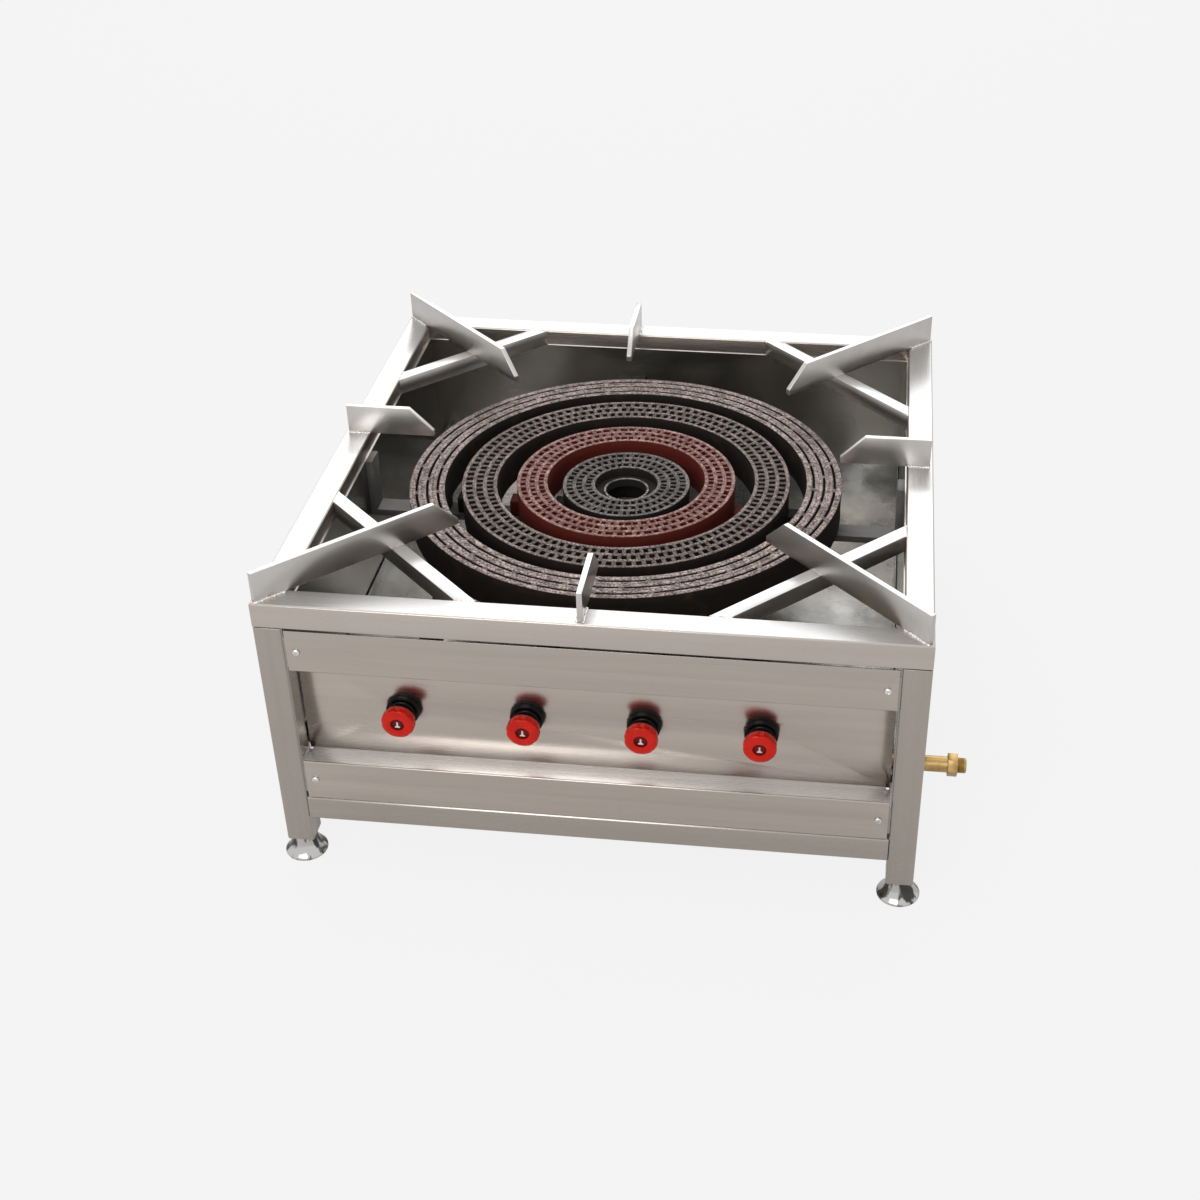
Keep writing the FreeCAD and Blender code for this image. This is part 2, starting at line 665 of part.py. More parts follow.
def side_panel(label, side):
    """A sheet inside the legs with a ledge for the tray and two tabs for the strips' screws."""
    body = new_body(label)
    front = "(front_y + sheet)"
    tongue_end = "(-inner_y - sheet)"
    ledge_base = "(tray_height - sheet)"
    tab_base = "(lower_screw_z - tab_height / 2)"
    wall = polygon_sketch(body, "outline", "YZ_Plane", (
        (front, tab_base),
        (tongue_end, tab_base),
        (tongue_end, ledge_base),
        ("inner_y", ledge_base),
        ("inner_y", "wall_top"),
        ("-inner_y", "wall_top"),
        ("-inner_y", "rail_base"),
        (front, "rail_base"),
    ))
    bind(wall, AttachmentOffset__Base__z=set_back("inner_x", side, "sheet"))
    pad(body, wall, "sheet")
    block(
        body, "ledge", "tray_ledge", "2 * (wall_inner_y - tray_gap)", "sheet",
        x=set_back("inner_x", side, "tray_ledge"), y="-wall_inner_y + tray_gap", z=ledge_base,
    )
    for level in ("lower_screw_z", "upper_screw_z"):
        block(
            body, "tab", "tab_width", "sheet", "tab_height",
            x=set_back("inner_x", side, "tab_width"), y=front, z="%s - tab_height / 2" % level,
        )
    for level in ("lower_screw_z", "upper_screw_z"):
        round_bar(
            body, "screw_hole", "screw_radius + screw_clearance", "3 * sheet",
            x="%d * screw_x" % side, y="front_y", z=level, cut=True, rotation=Z_TO_Y,
        )
    if side > 0:
        round_bar(
            body, "inlet_hole", "inlet_radius + inlet_clearance", "5 * sheet",
            x="inner_x - 3 * sheet", y="manifold_y", z="manifold_height", cut=True, rotation=Z_TO_X,
        )
    keep(body, label)


def rear_panel():
    """A plain sheet between the side panels, against the inner face of the rear rail."""
    body = new_body("rear_panel")
    block(
        body, "wall", "2 * wall_inner_x", "sheet", "wall_top - tray_height + sheet",
        x="-wall_inner_x", y="wall_inner_y", z="tray_height - sheet",
    )
    keep(body, "rear_panel")


def spill_tray():
    """A shallow pan on the side panels' ledges, notched for the gas inlet."""
    body = new_body("spill_tray")
    front = "panel_back_y + tray_gap"
    length = "2 * (wall_inner_x - tray_gap)"
    width = "wall_inner_y - tray_gap - (%s)" % front
    block(
        body, "pan", length, width, "tray_lip",
        x="-(wall_inner_x - tray_gap)", y=front, z="tray_height",
    )
    block(
        body, "hollow", length + " - 2 * tray_sheet", width + " - 2 * tray_sheet", "tray_lip",
        x="-(wall_inner_x - tray_gap) + tray_sheet", y=front + " + tray_sheet",
        z="tray_height + tray_sheet", cut=True,
    )
    room = "(inlet_radius + inlet_clearance)"
    block(
        body, "notch", "5 * tray_sheet", "2 * " + room, "tray_lip",
        x="wall_inner_x - tray_gap - 3 * tray_sheet", y="manifold_y - " + room,
        z="manifold_height - " + room, cut=True,
    )
    keep(body, "spill_tray")


def panel_screws():
    """Four low-headed screws that hold the two strips on the side panels' tabs."""
    head = Part.makeCone(
        size("screw_head_radius"), size("screw_head_top_radius"), size("screw_head_height"),
    )
    shank = Part.makeCylinder(size("screw_radius"), size("screw_length"), ORIGIN, -Z_AXIS)
    screw = head.fuse(shank)
    screw.rotate(ORIGIN, X_AXIS, 90)
    copies = []
    for side in (-1, 1):
        for level in ("lower_screw_z", "upper_screw_z"):
            copy = screw.copy()
            copy.translate(FreeCAD.Vector(side * size("screw_x"), size("front_y"), size(level)))
            copies.append(copy)
    shaped("panel_screws", Part.makeCompound(copies))


# ---------------------------------------------------------------- gas valves and pipes

def gas_valve(number):
    """A brass body: threaded neck, hexagon against the panel, jet holder, and a leg down to the gas."""
    x = "valve_x_%d" % number
    z = "valve_height"
    neck = solid_cylinder(
        "neck", "neck_radius", "panel_back_y - neck_front_y + sheet",
        x=x, y="neck_front_y", z=z, rotation=Z_TO_Y,
    )
    hexagon = solid_hexagon(
        "hexagon", "valve_flats", "valve_body_length", x=x, y="panel_back_y", z=z, rotation=Z_TO_Y,
    )
    jet = solid_cylinder(
        "jet", "jet_radius", "jet_length + sheet", x=x, y="valve_back_y - sheet", z=z, rotation=Z_TO_Y,
    )
    riser = solid_cylinder(
        "riser", "riser_radius", "valve_height - boss_top", x=x, y="manifold_y", z="boss_top",
    )
    bore = solid_cylinder(
        "spindle_bore", "spindle_radius + shaft_clearance", "spindle_engagement + sheet",
        x=x, y="neck_front_y - sheet", z=z, rotation=Z_TO_Y,
    )
    casting = fuse("casting", [neck, hexagon, jet, riser])
    label = "gas_valve_%d" % number
    keep(cut(label, casting, bore), label)


def valve_knob(number):
    """A lobed hand wheel with its hub and needle spindle; its own Z runs back along the valve."""
    label = "valve_knob_%d" % number
    body = new_body(label)
    round_bar(body, "wheel", "knob_radius", "knob_thickness")
    hollow = round_bar(
        body, "hollow", "lobe_radius", "knob_thickness",
        x="knob_radius + lobe_radius - lobe_depth", cut=True,
    )
    pattern = body.newObject("PartDesign::PolarPattern", "hollows")
    pattern.Originals = [hollow]
    pattern.Axis = (origin_feature(body, "Z_Axis"), [""])
    pattern.Angle = 360
    bind(pattern, Occurrences="knob_lobes")
    body.Tip = pattern
    doc.recompute()
    round_bar(body, "dish", "dish_radius", "dish_depth", cut=True)
    hub_end = "(collar_front_y - knob_front_y + neck_recess / 2)"
    round_bar(body, "hub", "hub_radius", hub_end + " - knob_thickness / 2", z="knob_thickness / 2")
    spindle_end = "(neck_front_y - knob_front_y + spindle_engagement - neck_recess)"
    round_bar(
        body, "spindle", "spindle_radius", spindle_end + " - knob_thickness / 2",
        z="knob_thickness / 2",
    )
    body.Placement = FreeCAD.Placement(ORIGIN, Z_TO_Y)
    keep(body, label, "valve_x_%d" % number, "knob_front_y", "valve_height")


def valve_collars():
    """Four black collars that clamp the valve necks to the front of the recessed panel."""
    bore = size("neck_radius") + size("neck_clearance")
    flange = size("collar_radius")
    nose = size("collar_nose_radius")
    length = size("collar_length")
    step = size("collar_flange")
    outline = Part.makePolygon([
        FreeCAD.Vector(bore, 0, 0),
        FreeCAD.Vector(flange, 0, 0),
        FreeCAD.Vector(flange, 0, step),
        FreeCAD.Vector(nose, 0, step + size("collar_bevel")),
        FreeCAD.Vector(nose, 0, length),
        FreeCAD.Vector(bore, 0, length),
        FreeCAD.Vector(bore, 0, 0),
    ])
    collar = Part.Face(outline).revolve(ORIGIN, Z_AXIS, 360)
    collar.rotate(ORIGIN, X_AXIS, 90)
    copies = []
    for number in VALVE_NUMBERS:
        copy = collar.copy()
        copy.translate(FreeCAD.Vector(size("valve_x_%d" % number), size("panel_y"), size("valve_height")))
        copies.append(copy)
    shaped("valve_collars", Part.makeCompound(copies))


def gas_manifold():
    """A pipe across the front with a boss under each valve, plugged at its left end."""
    y = "manifold_y"
    z = "manifold_height"
    pipe = solid_cylinder(
        "pipe", "manifold_radius", "manifold_right_x - manifold_left_x",
        x="manifold_left_x", y=y, z=z, rotation=Z_TO_X,
    )
    plug = solid_hexagon(
        "plug", "cap_flats", "cap_length", x="manifold_left_x - cap_length / 2", y=y, z=z, rotation=Z_TO_X,
    )
    bosses = [
        solid_cylinder("boss", "boss_radius", "boss_height", x="valve_x_%d" % number, y=y, z=z)
        for number in VALVE_NUMBERS
    ]
    socket = solid_cylinder(
        "socket", "inlet_radius + socket_clearance", "inlet_engagement + sheet",
        x="manifold_right_x - inlet_engagement", y=y, z=z, rotation=Z_TO_X,
    )
    keep(cut("gas_manifold", fuse("manifold_casting", [pipe, plug] + bosses), socket), "gas_manifold")


def gas_inlet():
    """The brass nipple that leaves the manifold on the right: pipe, hexagon and pipe thread."""
    y = "manifold_y"
    z = "manifold_height"
    start = "(manifold_right_x - inlet_engagement)"
    end = "(frame_width / 2 + inlet_reach)"
    thread_start = "(%s - inlet_thread_length)" % end
    hex_start = "(%s - inlet_hex_length)" % thread_start
    pipe = solid_cylinder(
        "inlet_pipe", "inlet_radius", "%s - %s + sheet" % (hex_start, start),
        x=start, y=y, z=z, rotation=Z_TO_X,
    )
    hexagon = solid_hexagon(
        "inlet_hexagon", "inlet_flats", "inlet_hex_length", x=hex_start, y=y, z=z, rotation=Z_TO_X,
    )
    thread = solid_cylinder(
        "inlet_thread", "inlet_thread_radius", "inlet_thread_length + sheet",
        x=thread_start + " - sheet", y=y, z=z, rotation=Z_TO_X,
    )
    bore = solid_cylinder(
        "inlet_bore", "inlet_bore", "%s - %s + 2 * sheet" % (end, start),
        x=start + " - sheet", y=y, z=z, rotation=Z_TO_X,
    )
    keep(cut("gas_inlet", fuse("inlet_bar", [pipe, hexagon, thread]), bore), "gas_inlet")


# ---------------------------------------------------------------- burner

def burner_bar():
    """A flat bar across the frame under the burner, its ends turned up against the side panels."""
    body = new_body("burner_bar")
    end = "wall_inner_x"
    under = "bar_top - bar_thickness"
    outline = polygon_sketch(body, "outline", "XZ_Plane", (
        ("-" + end, under),
        (end, under),
        (end, "wall_top"),
        (end + " - bar_thickness", "wall_top"),
        (end + " - bar_thickness", "bar_top"),
        ("-%s + bar_thickness" % end, "bar_top"),
        ("-%s + bar_thickness" % end, "wall_top"),
        ("-" + end, "wall_top"),
    ))
    pad(body, outline, "bar_width", symmetric=True)
    for number in RING_NUMBERS:
        for side in (-1, 1):
            round_bar(
                body, "bolt_hole", "bolt_radius + screw_clearance", "3 * bar_thickness",
                x="burner_shift_x + %d * (ring_%d_inner + ring_%d_outer) / 2" % (side, number, number),
                z="bar_top - 2 * bar_thickness", cut=True,
            )
    keep(body, "burner_bar", y="burner_shift_y")


def ring_casting(number):
    """The plain casting of a ring, with two bearing pads that stand on the cross bar."""
    inner = "ring_%d_inner" % number
    outer = "ring_%d_outer" % number
    pad_height = "(ring_%d_base - bar_top)" % number
    body = new_body("ring_casting_%d" % number)
    section = polygon_sketch(body, "section", "XZ_Plane", (
        (inner, "0"),
        (outer, "0"),
        (outer, "ring_depth"),
        (inner, "ring_depth"),
    ))
    revolve(body, section)
    for side in (-1, 1):
        width = "(%s - %s - 2 * pad_inset)" % (outer, inner)
        block(
            body, "bearing_pad", width, "pad_width", pad_height + " + pad_inset",
            x=set_back("(%s - pad_inset)" % outer, side, width), y="-pad_width / 2", z="-" + pad_height,
        )
        if number < max(RING_NUMBERS):
            reach = "(ear_reach + pad_inset)"
            block(
                body, "ear", reach, "ear_width", "ear_height",
                x=set_back("(%s + ear_reach)" % outer, side, reach), y="-ear_width / 2", z="-" + pad_height,
            )
        round_bar(
            body, "bolt_hole", "bolt_radius + screw_clearance", "bolt_grip + 2 * screw_clearance",
            x="%d * (%s + %s) / 2" % (side, inner, outer), z="-" + pad_height, cut=True,
        )
    return body


def tapered_mouth(length, width, depth):
    """A four-sided pyramid that points down from a rectangle at Z = 0: the mouth of a port."""
    corners = [
        FreeCAD.Vector(x * length / 2, y * width / 2, 0)
        for x, y in ((-1, -1), (1, -1), (1, 1), (-1, 1))
    ]
    apex = FreeCAD.Vector(0, 0, -depth)
    faces = [Part.Face(Part.makePolygon(corners + corners[:1]))]
    for i in range(4):
        faces.append(Part.Face(Part.makePolygon([corners[i], corners[(i + 1) % 4], apex, corners[i]])))
    return Part.Solid(Part.Shell(faces))


def port_mouths(number):
    """The mouths of a ring's flame ports: rows round the ring, each half a pitch from the last.

    The outermost ring has long slots in place of square ports.
    """
    inner = size("ring_%d_inner" % number)
    outer = size("ring_%d_outer" % number)
    margin = size("port_margin")
    rows = count("port_rows")
    slotted = number == max(RING_NUMBERS)
    length = size("slot_length" if slotted else "port_length")
    share = size("slot_share" if slotted else "port_share")
    row_step = (outer - inner - 2 * margin) / rows
    mouths = []
    for row in range(rows):
        radius = inner + margin + (row + 0.5) * row_step
        total = count("ports_%d_first" % number) + row * count("ports_%d_step" % number)
        width = share * 2 * math.pi * (radius - length / 2) / total
        mouth = tapered_mouth(length, width, size("port_depth"))
        mouth.translate(FreeCAD.Vector(radius, 0, size("ring_depth")))
        for step in range(total):
            copy = mouth.copy()
            copy.rotate(ORIGIN, Z_AXIS, 360.0 / total * (step + 0.5 * (row % 2)))
            mouths.append(copy)
    tool = doc.addObject("Part::Feature", "port_mouths_%d" % number)
    tool.Shape = Part.makeCompound(mouths)
    return tool


def burner_ring(number):
    """A cast ring whose top is perforated by rows of flame ports."""
    label = "burner_ring_%d" % number
    ring = cut(label, ring_casting(number), port_mouths(number))
    keep(ring, label, "burner_shift_x", "burner_shift_y", "ring_%d_base" % number)


def rounded_path(points, radii):
    """Straight runs joined by tangent arcs; one radius for each inner point."""
    edges = []
    start = points[0]
    for i, radius in enumerate(radii, start=1):
        back = (points[i - 1] - points[i]).normalize()
        ahead = (points[i + 1] - points[i]).normalize()
        turn = math.pi - back.getAngle(ahead)
        reach = radius * math.tan(turn / 2)
        enter = points[i] + back * reach
        leave = points[i] + ahead * reach
        bisector = (back + ahead).normalize()
        middle = points[i] + bisector * (radius / math.cos(turn / 2) - radius)
        edges.append(Part.LineSegment(start, enter).toShape())
        edges.append(Part.Arc(enter, middle, leave).toShape())
        start = leave
    edges.append(Part.LineSegment(start, points[-1]).toShape())
    return Part.Wire(edges)


def mixing_tube(number, ring):
    """A tube from its open bell behind a valve's jet to the underside of a ring.

    A tube that can reach its ring straight ahead does so, and the others bend to one side first.
    """
    level = size("valve_height")
    x = size("valve_x_%d" % number)
    centre_x = size("burner_shift_x")
    centre_y = size("burner_shift_y")
    middle_radius = (size("ring_%d_inner" % ring) + size("ring_%d_outer" % ring)) / 2
    mouth_y = size("jet_tip_y") + size("jet_gap")
    flare_end = mouth_y + size("bell_length")
    points = [FreeCAD.Vector(x, flare_end, level)]
    radii = [size("mixer_elbow")]
    if ring in STRAIGHT_FED_RINGS:
        target_x = x
        target_y = centre_y - math.sqrt(middle_radius ** 2 - (x - centre_x) ** 2)
    else:
        bearing = math.radians(size("inlet_bearing_%d" % ring))
        target_x = centre_x + middle_radius * math.sin(bearing)
        target_y = centre_y - middle_radius * math.cos(bearing)
        points.append(FreeCAD.Vector(x, flare_end + size("mixer_straight"), level))
        radii.insert(0, size("mixer_bend"))
    points.append(FreeCAD.Vector(target_x, target_y, level))
    points.append(FreeCAD.Vector(target_x, target_y, size("ring_%d_base" % ring)))
    tube_radius = size("mixer_radius")
    section = Part.Wire(Part.makeCircle(tube_radius, points[0], Y_AXIS))
    tube = rounded_path(points, radii).makePipeShell([section], True, False)
    mouth = FreeCAD.Vector(x, mouth_y, level)
    bell_radius = size("bell_radius")
    bell = Part.makeCone(bell_radius, tube_radius, size("bell_length"), mouth, Y_AXIS)
    wall = size("mixer_wall")
    hollow = Part.makeCone(bell_radius - wall, tube_radius - wall, size("bell_depth"), mouth, Y_AXIS)
    shaped("mixing_tube_%d" % ring, tube.fuse(bell).cut(hollow).removeSplitter())


def burner_bolts():
    """Hexagon bolts up through the cross bar into the pads of the rings."""
    flats = size("bolt_flats")
    head_height = size("bolt_head")
    under_bar = size("bar_top") - size("bar_thickness")
    corner = flats / math.sqrt(3)
    hexagon = [
        FreeCAD.Vector(corner * math.cos(i * math.pi / 3), corner * math.sin(i * math.pi / 3), -head_height)
        for i in range(6)
    ]
    head = Part.Face(Part.makePolygon(hexagon + hexagon[:1])).extrude(FreeCAD.Vector(0, 0, head_height))
    shank = Part.makeCylinder(size("bolt_radius"), size("bar_thickness") + size("bolt_grip"))
    bolt = head.fuse(shank)
    copies = []
    for number in RING_NUMBERS:
        middle_radius = (size("ring_%d_inner" % number) + size("ring_%d_outer" % number)) / 2
        for side in (-1, 1):
            copy = bolt.copy()
            copy.translate(FreeCAD.Vector(
                size("burner_shift_x") + side * middle_radius, size("burner_shift_y"), under_bar,
            ))
            copies.append(copy)
    shaped("burner_bolts", Part.makeCompound(copies))


def rear_lug():
    """A forked lug at the back of the outermost ring."""
    body = new_body("rear_lug")
    block(
        body, "plate", "lug_width", "lug_length + lug_root", "lug_thickness",
        x="lug_shift - lug_width / 2", y="ring_4_outer - lug_root",
    )
    round_bar(body, "ring_side", "ring_4_outer", "2 * lug_thickness", z="-lug_thickness / 2", cut=True)
    round_bar(
        body, "notch", "lug_notch", "2 * lug_thickness",
        x="lug_shift", y="ring_4_outer + lug_length", z="-lug_thickness / 2", cut=True,
    )
    keep(
        body, "rear_lug", "burner_shift_x", "burner_shift_y",
        "frame_height - ring_4_drop - lug_drop - lug_thickness",
    )


# ---------------------------------------------------------------- assembly and export

def check_and_export():
    """Stop on any failed object or bad shape, then write one STEP file for each sub-part."""
    doc.recompute()
    for item in doc.Objects:
        if "Invalid" in item.State or "Error" in item.State:
            raise RuntimeError("%s failed: %s" % (item.Label, item.State))
    for piece in sub_parts:
        shape = piece.Shape
        if shape.isNull() or not shape.isValid() or not shape.Solids:
            raise RuntimeError("%s has no valid solid" % piece.Label)
    os.makedirs("parts", exist_ok=True)
    for piece in sub_parts:
        piece.Shape.exportStep("parts/%s.step" % piece.Label)
    print("wrote %d sub-parts" % len(sub_parts))


def main():
    """Build every sub-part from the sheet and write it out."""
    fill_sheet()
    build_frame()
    front_strip(
        "front_strip_upper", "upper_strip_top", "recess_top", "upper_flange_top", "upper_screw_z",
    )
    front_strip(
        "front_strip_lower", "lower_strip_base", "recess_base", "lower_flange_base", "lower_screw_z",
    )
    valve_panel()
    side_panel("side_panel_left", -1)
    side_panel("side_panel_right", 1)
    rear_panel()
    spill_tray()
    panel_screws()
    for number in VALVE_NUMBERS:
        gas_valve(number)
        valve_knob(number)
        mixing_tube(number, RING_OF_VALVE[number])
    valve_collars()
    gas_manifold()
    gas_inlet()
    burner_bar()
    for number in RING_NUMBERS:
        burner_ring(number)
    burner_bolts()
    rear_lug()
    check_and_export()


main()
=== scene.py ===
import json
import logging
import math
import random
from collections.abc import Callable, Mapping, Sequence
from dataclasses import dataclass, field
from enum import Enum

import bmesh
import bpy
from mathutils import Euler, Matrix, Vector

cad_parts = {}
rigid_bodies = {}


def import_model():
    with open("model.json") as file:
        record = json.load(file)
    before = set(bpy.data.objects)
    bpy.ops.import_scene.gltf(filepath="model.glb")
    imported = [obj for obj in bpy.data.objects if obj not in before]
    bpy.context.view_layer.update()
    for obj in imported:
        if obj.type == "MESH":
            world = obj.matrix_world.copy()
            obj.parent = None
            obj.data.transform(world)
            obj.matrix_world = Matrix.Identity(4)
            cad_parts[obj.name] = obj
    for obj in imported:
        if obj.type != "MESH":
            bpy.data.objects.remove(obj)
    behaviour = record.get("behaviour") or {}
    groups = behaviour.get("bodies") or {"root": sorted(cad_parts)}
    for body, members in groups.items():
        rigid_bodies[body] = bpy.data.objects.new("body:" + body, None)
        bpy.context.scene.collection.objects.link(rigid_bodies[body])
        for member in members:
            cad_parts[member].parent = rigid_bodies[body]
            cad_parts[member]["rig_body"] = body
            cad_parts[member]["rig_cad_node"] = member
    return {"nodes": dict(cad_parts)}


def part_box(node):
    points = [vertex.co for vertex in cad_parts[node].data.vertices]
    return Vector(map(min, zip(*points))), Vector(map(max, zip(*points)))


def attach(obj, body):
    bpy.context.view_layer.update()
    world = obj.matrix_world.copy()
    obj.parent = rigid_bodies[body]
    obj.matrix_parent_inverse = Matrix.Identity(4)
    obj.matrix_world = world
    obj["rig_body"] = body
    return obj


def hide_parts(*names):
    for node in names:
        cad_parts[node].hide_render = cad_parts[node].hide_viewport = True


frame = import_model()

# Looks of a low gas range for one large stock pot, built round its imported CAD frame. Metres, +X to
# the right, +Y to the back, +Z up, the floor at Z = 0.

LOG = logging.getLogger("stock_pot_range")
MM = 0.001
STATIC_BODY = "range_frame"
CORNERS = ("front_left", "front_right", "rear_right", "rear_left")
SIDES = ("front", "right", "rear", "left")
VALVES = (1, 2, 3, 4)
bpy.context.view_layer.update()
ORIGIN = Vector((0, 0, 0))
AXIS_TO_BACK = Euler((math.radians(-90), 0, 0))
AXIS_TO_FRONT = Euler((math.radians(90), 0, 0))
AXIS_TO_RIGHT = Euler((0, math.radians(90), 0))

Test = Callable[[Vector, Vector], bool]
Profile = Sequence[tuple[float, float]]
Colour = tuple[float, float, float]
Socket = bpy.types.NodeSocket
Finish = bpy.types.Material
Piece = bpy.types.Object


class Axis(Enum):
    """A direction of the object's frame."""

    X = (1.0, 0.0, 0.0)
    Y = (0.0, 1.0, 0.0)
    Z = (0.0, 0.0, 1.0)


class Grain(Enum):
    """Which way a steel surface was ground: degrees about Z from +X, or upright."""

    ALONG_X = 0.0
    ALONG_Y = 90.0
    RISING = 45.0
    FALLING = -45.0
    UPRIGHT = None

    @property
    def direction(self) -> Vector:
        """The way the grain runs.

        Returns:
            A vector of length 1.
        """
        if self is Grain.UPRIGHT:
            return Vector(Axis.Z.value)
        angle = math.radians(self.value)
        return Vector((math.cos(angle), math.sin(angle), 0))


def shaded(tone: Colour, share: float) -> Colour:
    """A share of a colour, which is darker."""
    return tuple(share * part for part in tone)


# ------------------------------------------------------------------ node trees


class Graph:
    """A node tree with short ways to add nodes and join sockets."""

    def __init__(self, tree: bpy.types.NodeTree) -> None:
        """Wrap the tree of a material, a world or a node group."""
        self.tree = tree

    def add(self, kind: str, **settings: object) -> bpy.types.Node:
        """Add a node.

        Args:
            kind: the node's type name.
            settings: attributes to set on it.

        Returns:
            The new node.
        """
        node = self.tree.nodes.new(kind)
        for name, value in settings.items():
            setattr(node, name, value)
        return node

    def feed(self, socket: Socket, value: object) -> None:
        """Join an output to an input, or set the input's constant.

        Args:
            socket: the input.
            value: an output socket, a number, a vector or a colour.
        """
        if isinstance(value, bpy.types.NodeSocket):
            self.tree.links.new(value, socket)
        elif socket.type == "RGBA":
            socket.default_value = (*value, 1.0)
        else:
            socket.default_value = value

    def put(
        self, kind: str, inputs: Mapping[str | int, object], output: str | int = 0,
        **settings: object,
    ) -> Socket:
        """Add a node and feed its inputs.

        Args:
            kind: the node's type name.
            inputs: what each input gets, by its name or place.
            output: the name or place of the output that is wanted.
            settings: attributes to set on the node.

        Returns:
            That output.
        """
        node = self.add(kind, **settings)
        for key, value in inputs.items():
            self.feed(node.inputs[key], value)
        return node.outputs[output]

    def math(self, operation: str, first: object, second: object = 0.0) -> Socket:
        """The result of an operation on two values."""
        return self.put("ShaderNodeMath", {0: first, 1: second}, operation=operation)

    def scaled(self, vector: object, scale: object) -> Socket:
        """A vector multiplied by another, part by part."""
        return self.put("ShaderNodeVectorMath", {0: vector, 1: scale}, operation="MULTIPLY")

    def height_of(self, vector: object) -> Socket:
        """The Z part of a vector."""
        return self.put("ShaderNodeSeparateXYZ", {0: vector}, "Z")

    def noise(
        self, vector: object, scale: object, octaves: float = 3.0, rough: float = 0.55,
    ) -> Socket:
        """Noise from 0 to 1, with scale in features per metre and rough for the small octaves."""
        inputs = {"Vector": vector, "Scale": scale, "Detail": octaves, "Roughness": rough}
        return self.put("ShaderNodeTexNoise", inputs, "Fac")

    def ramp(
        self, value: object, low: float, high: float, to_low: float = 0.0, to_high: float = 1.0,
    ) -> Socket:
        """A value mapped smoothly from low and high to another range, and held at both ends."""
        ends = {"From Min": low, "From Max": high, "To Min": to_low, "To Max": to_high}
        inputs = {"Value": value, **ends}
        return self.put("ShaderNodeMapRange", inputs, "Result", interpolation_type="SMOOTHSTEP")

    def blend(self, factor: object, first: object, second: object) -> Socket:
        """Two colours mixed, all of the first at a factor of 0."""
        inputs = {0: factor, 6: first, 7: second}
        return self.put("ShaderNodeMix", inputs, 2, data_type="RGBA", clamp_factor=True)

    def bump(self, height: object, strength: float, distance: float) -> Socket:
        """The normal of a height, with distance in metres for a height of 1."""
        inputs = {"Strength": strength, "Distance": distance, "Height": height}
        return self.put("ShaderNodeBump", inputs, "Normal")


def group_of(
    name: str, inputs: Mapping[str, float], outputs: Sequence[str],
) -> tuple[Graph, bpy.types.Node, bpy.types.Node]:
    """Start a shader node group that reads a vector and numbers, and puts out numbers.

    Args:
        name: the group's name.
        inputs: name and default of each number that it reads.
        outputs: the name of each number that it puts out.

    Returns:
        The group's graph, its input node and its output node.
    """
    tree = bpy.data.node_groups.new(name, "ShaderNodeTree")
    tree.interface.new_socket("Vector", in_out="INPUT", socket_type="NodeSocketVector")
    for label, default in inputs.items():
        socket = tree.interface.new_socket(label, in_out="INPUT", socket_type="NodeSocketFloat")
        socket.default_value = default
    for label in outputs:
        tree.interface.new_socket(label, in_out="OUTPUT", socket_type="NodeSocketFloat")
    graph = Graph(tree)
    return graph, graph.add("NodeGroupInput"), graph.add("NodeGroupOutput")


class Effects:
    """The surface effects that several finishes share, each one node group, built once."""

    def __init__(self) -> None:
        """Build the groups."""
        self.brushed = self._brushed()
        self.grime = self._grime()
        self.cast_skin = self._cast_skin()

    @staticmethod
    def _brushed() -> bpy.types.NodeTree:
        """Fine parallel scratches along X of the vector that it is given.

        Returns:
            The group.
        """
        graph, start, end = group_of("brushed grain", {"Fineness": 1.0}, ("Height", "Streak"))
        place = start.outputs["Vector"]
        fine = graph.scaled(place, (6.0, 1500.0, 1500.0))
        inputs = {0: fine, "Scale": start.outputs["Fineness"]}
        spread = graph.put("ShaderNodeVectorMath", inputs, operation="SCALE")
        graph.feed(end.inputs["Height"], graph.noise(spread, 1.0, 3.0, 0.7))
        wide = graph.scaled(place, (1.5, 60.0, 60.0))
        graph.feed(end.inputs["Streak"], graph.noise(wide, 1.0, 3.0, 0.6))
        return graph.tree

    @staticmethod
    def _grime() -> bpy.types.NodeTree:
        """Soft finger marks and dull patches, as a mask.

        Returns:
            The group.
        """
        graph, start, end = group_of("grime", {"Scale": 9.0, "Amount": 0.5}, ("Mask",))
        patches = graph.noise(start.outputs["Vector"], start.outputs["Scale"], 5.0, 0.6)
        mask = graph.ramp(patches, 0.45, 0.75)
        graph.feed(end.inputs["Mask"], graph.math("MULTIPLY", mask, start.outputs["Amount"]))
        return graph.tree

    @staticmethod
    def _cast_skin() -> bpy.types.NodeTree:
        """The pitted skin of sand-cast iron.

        Returns:
            The group.
        """
        graph, start, end = group_of("cast skin", {}, ("Height",))
        sand = graph.noise(start.outputs["Vector"], 900.0, 3.0, 0.6)
        lumps = graph.noise(start.outputs["Vector"], 150.0, 2.0, 0.5)
        sand, lumps = graph.math("MULTIPLY", sand, 0.6), graph.math("MULTIPLY", lumps, 0.4)
        graph.feed(end.inputs["Height"], graph.math("ADD", sand, lumps))
        return graph.tree


EFFECTS = Effects()


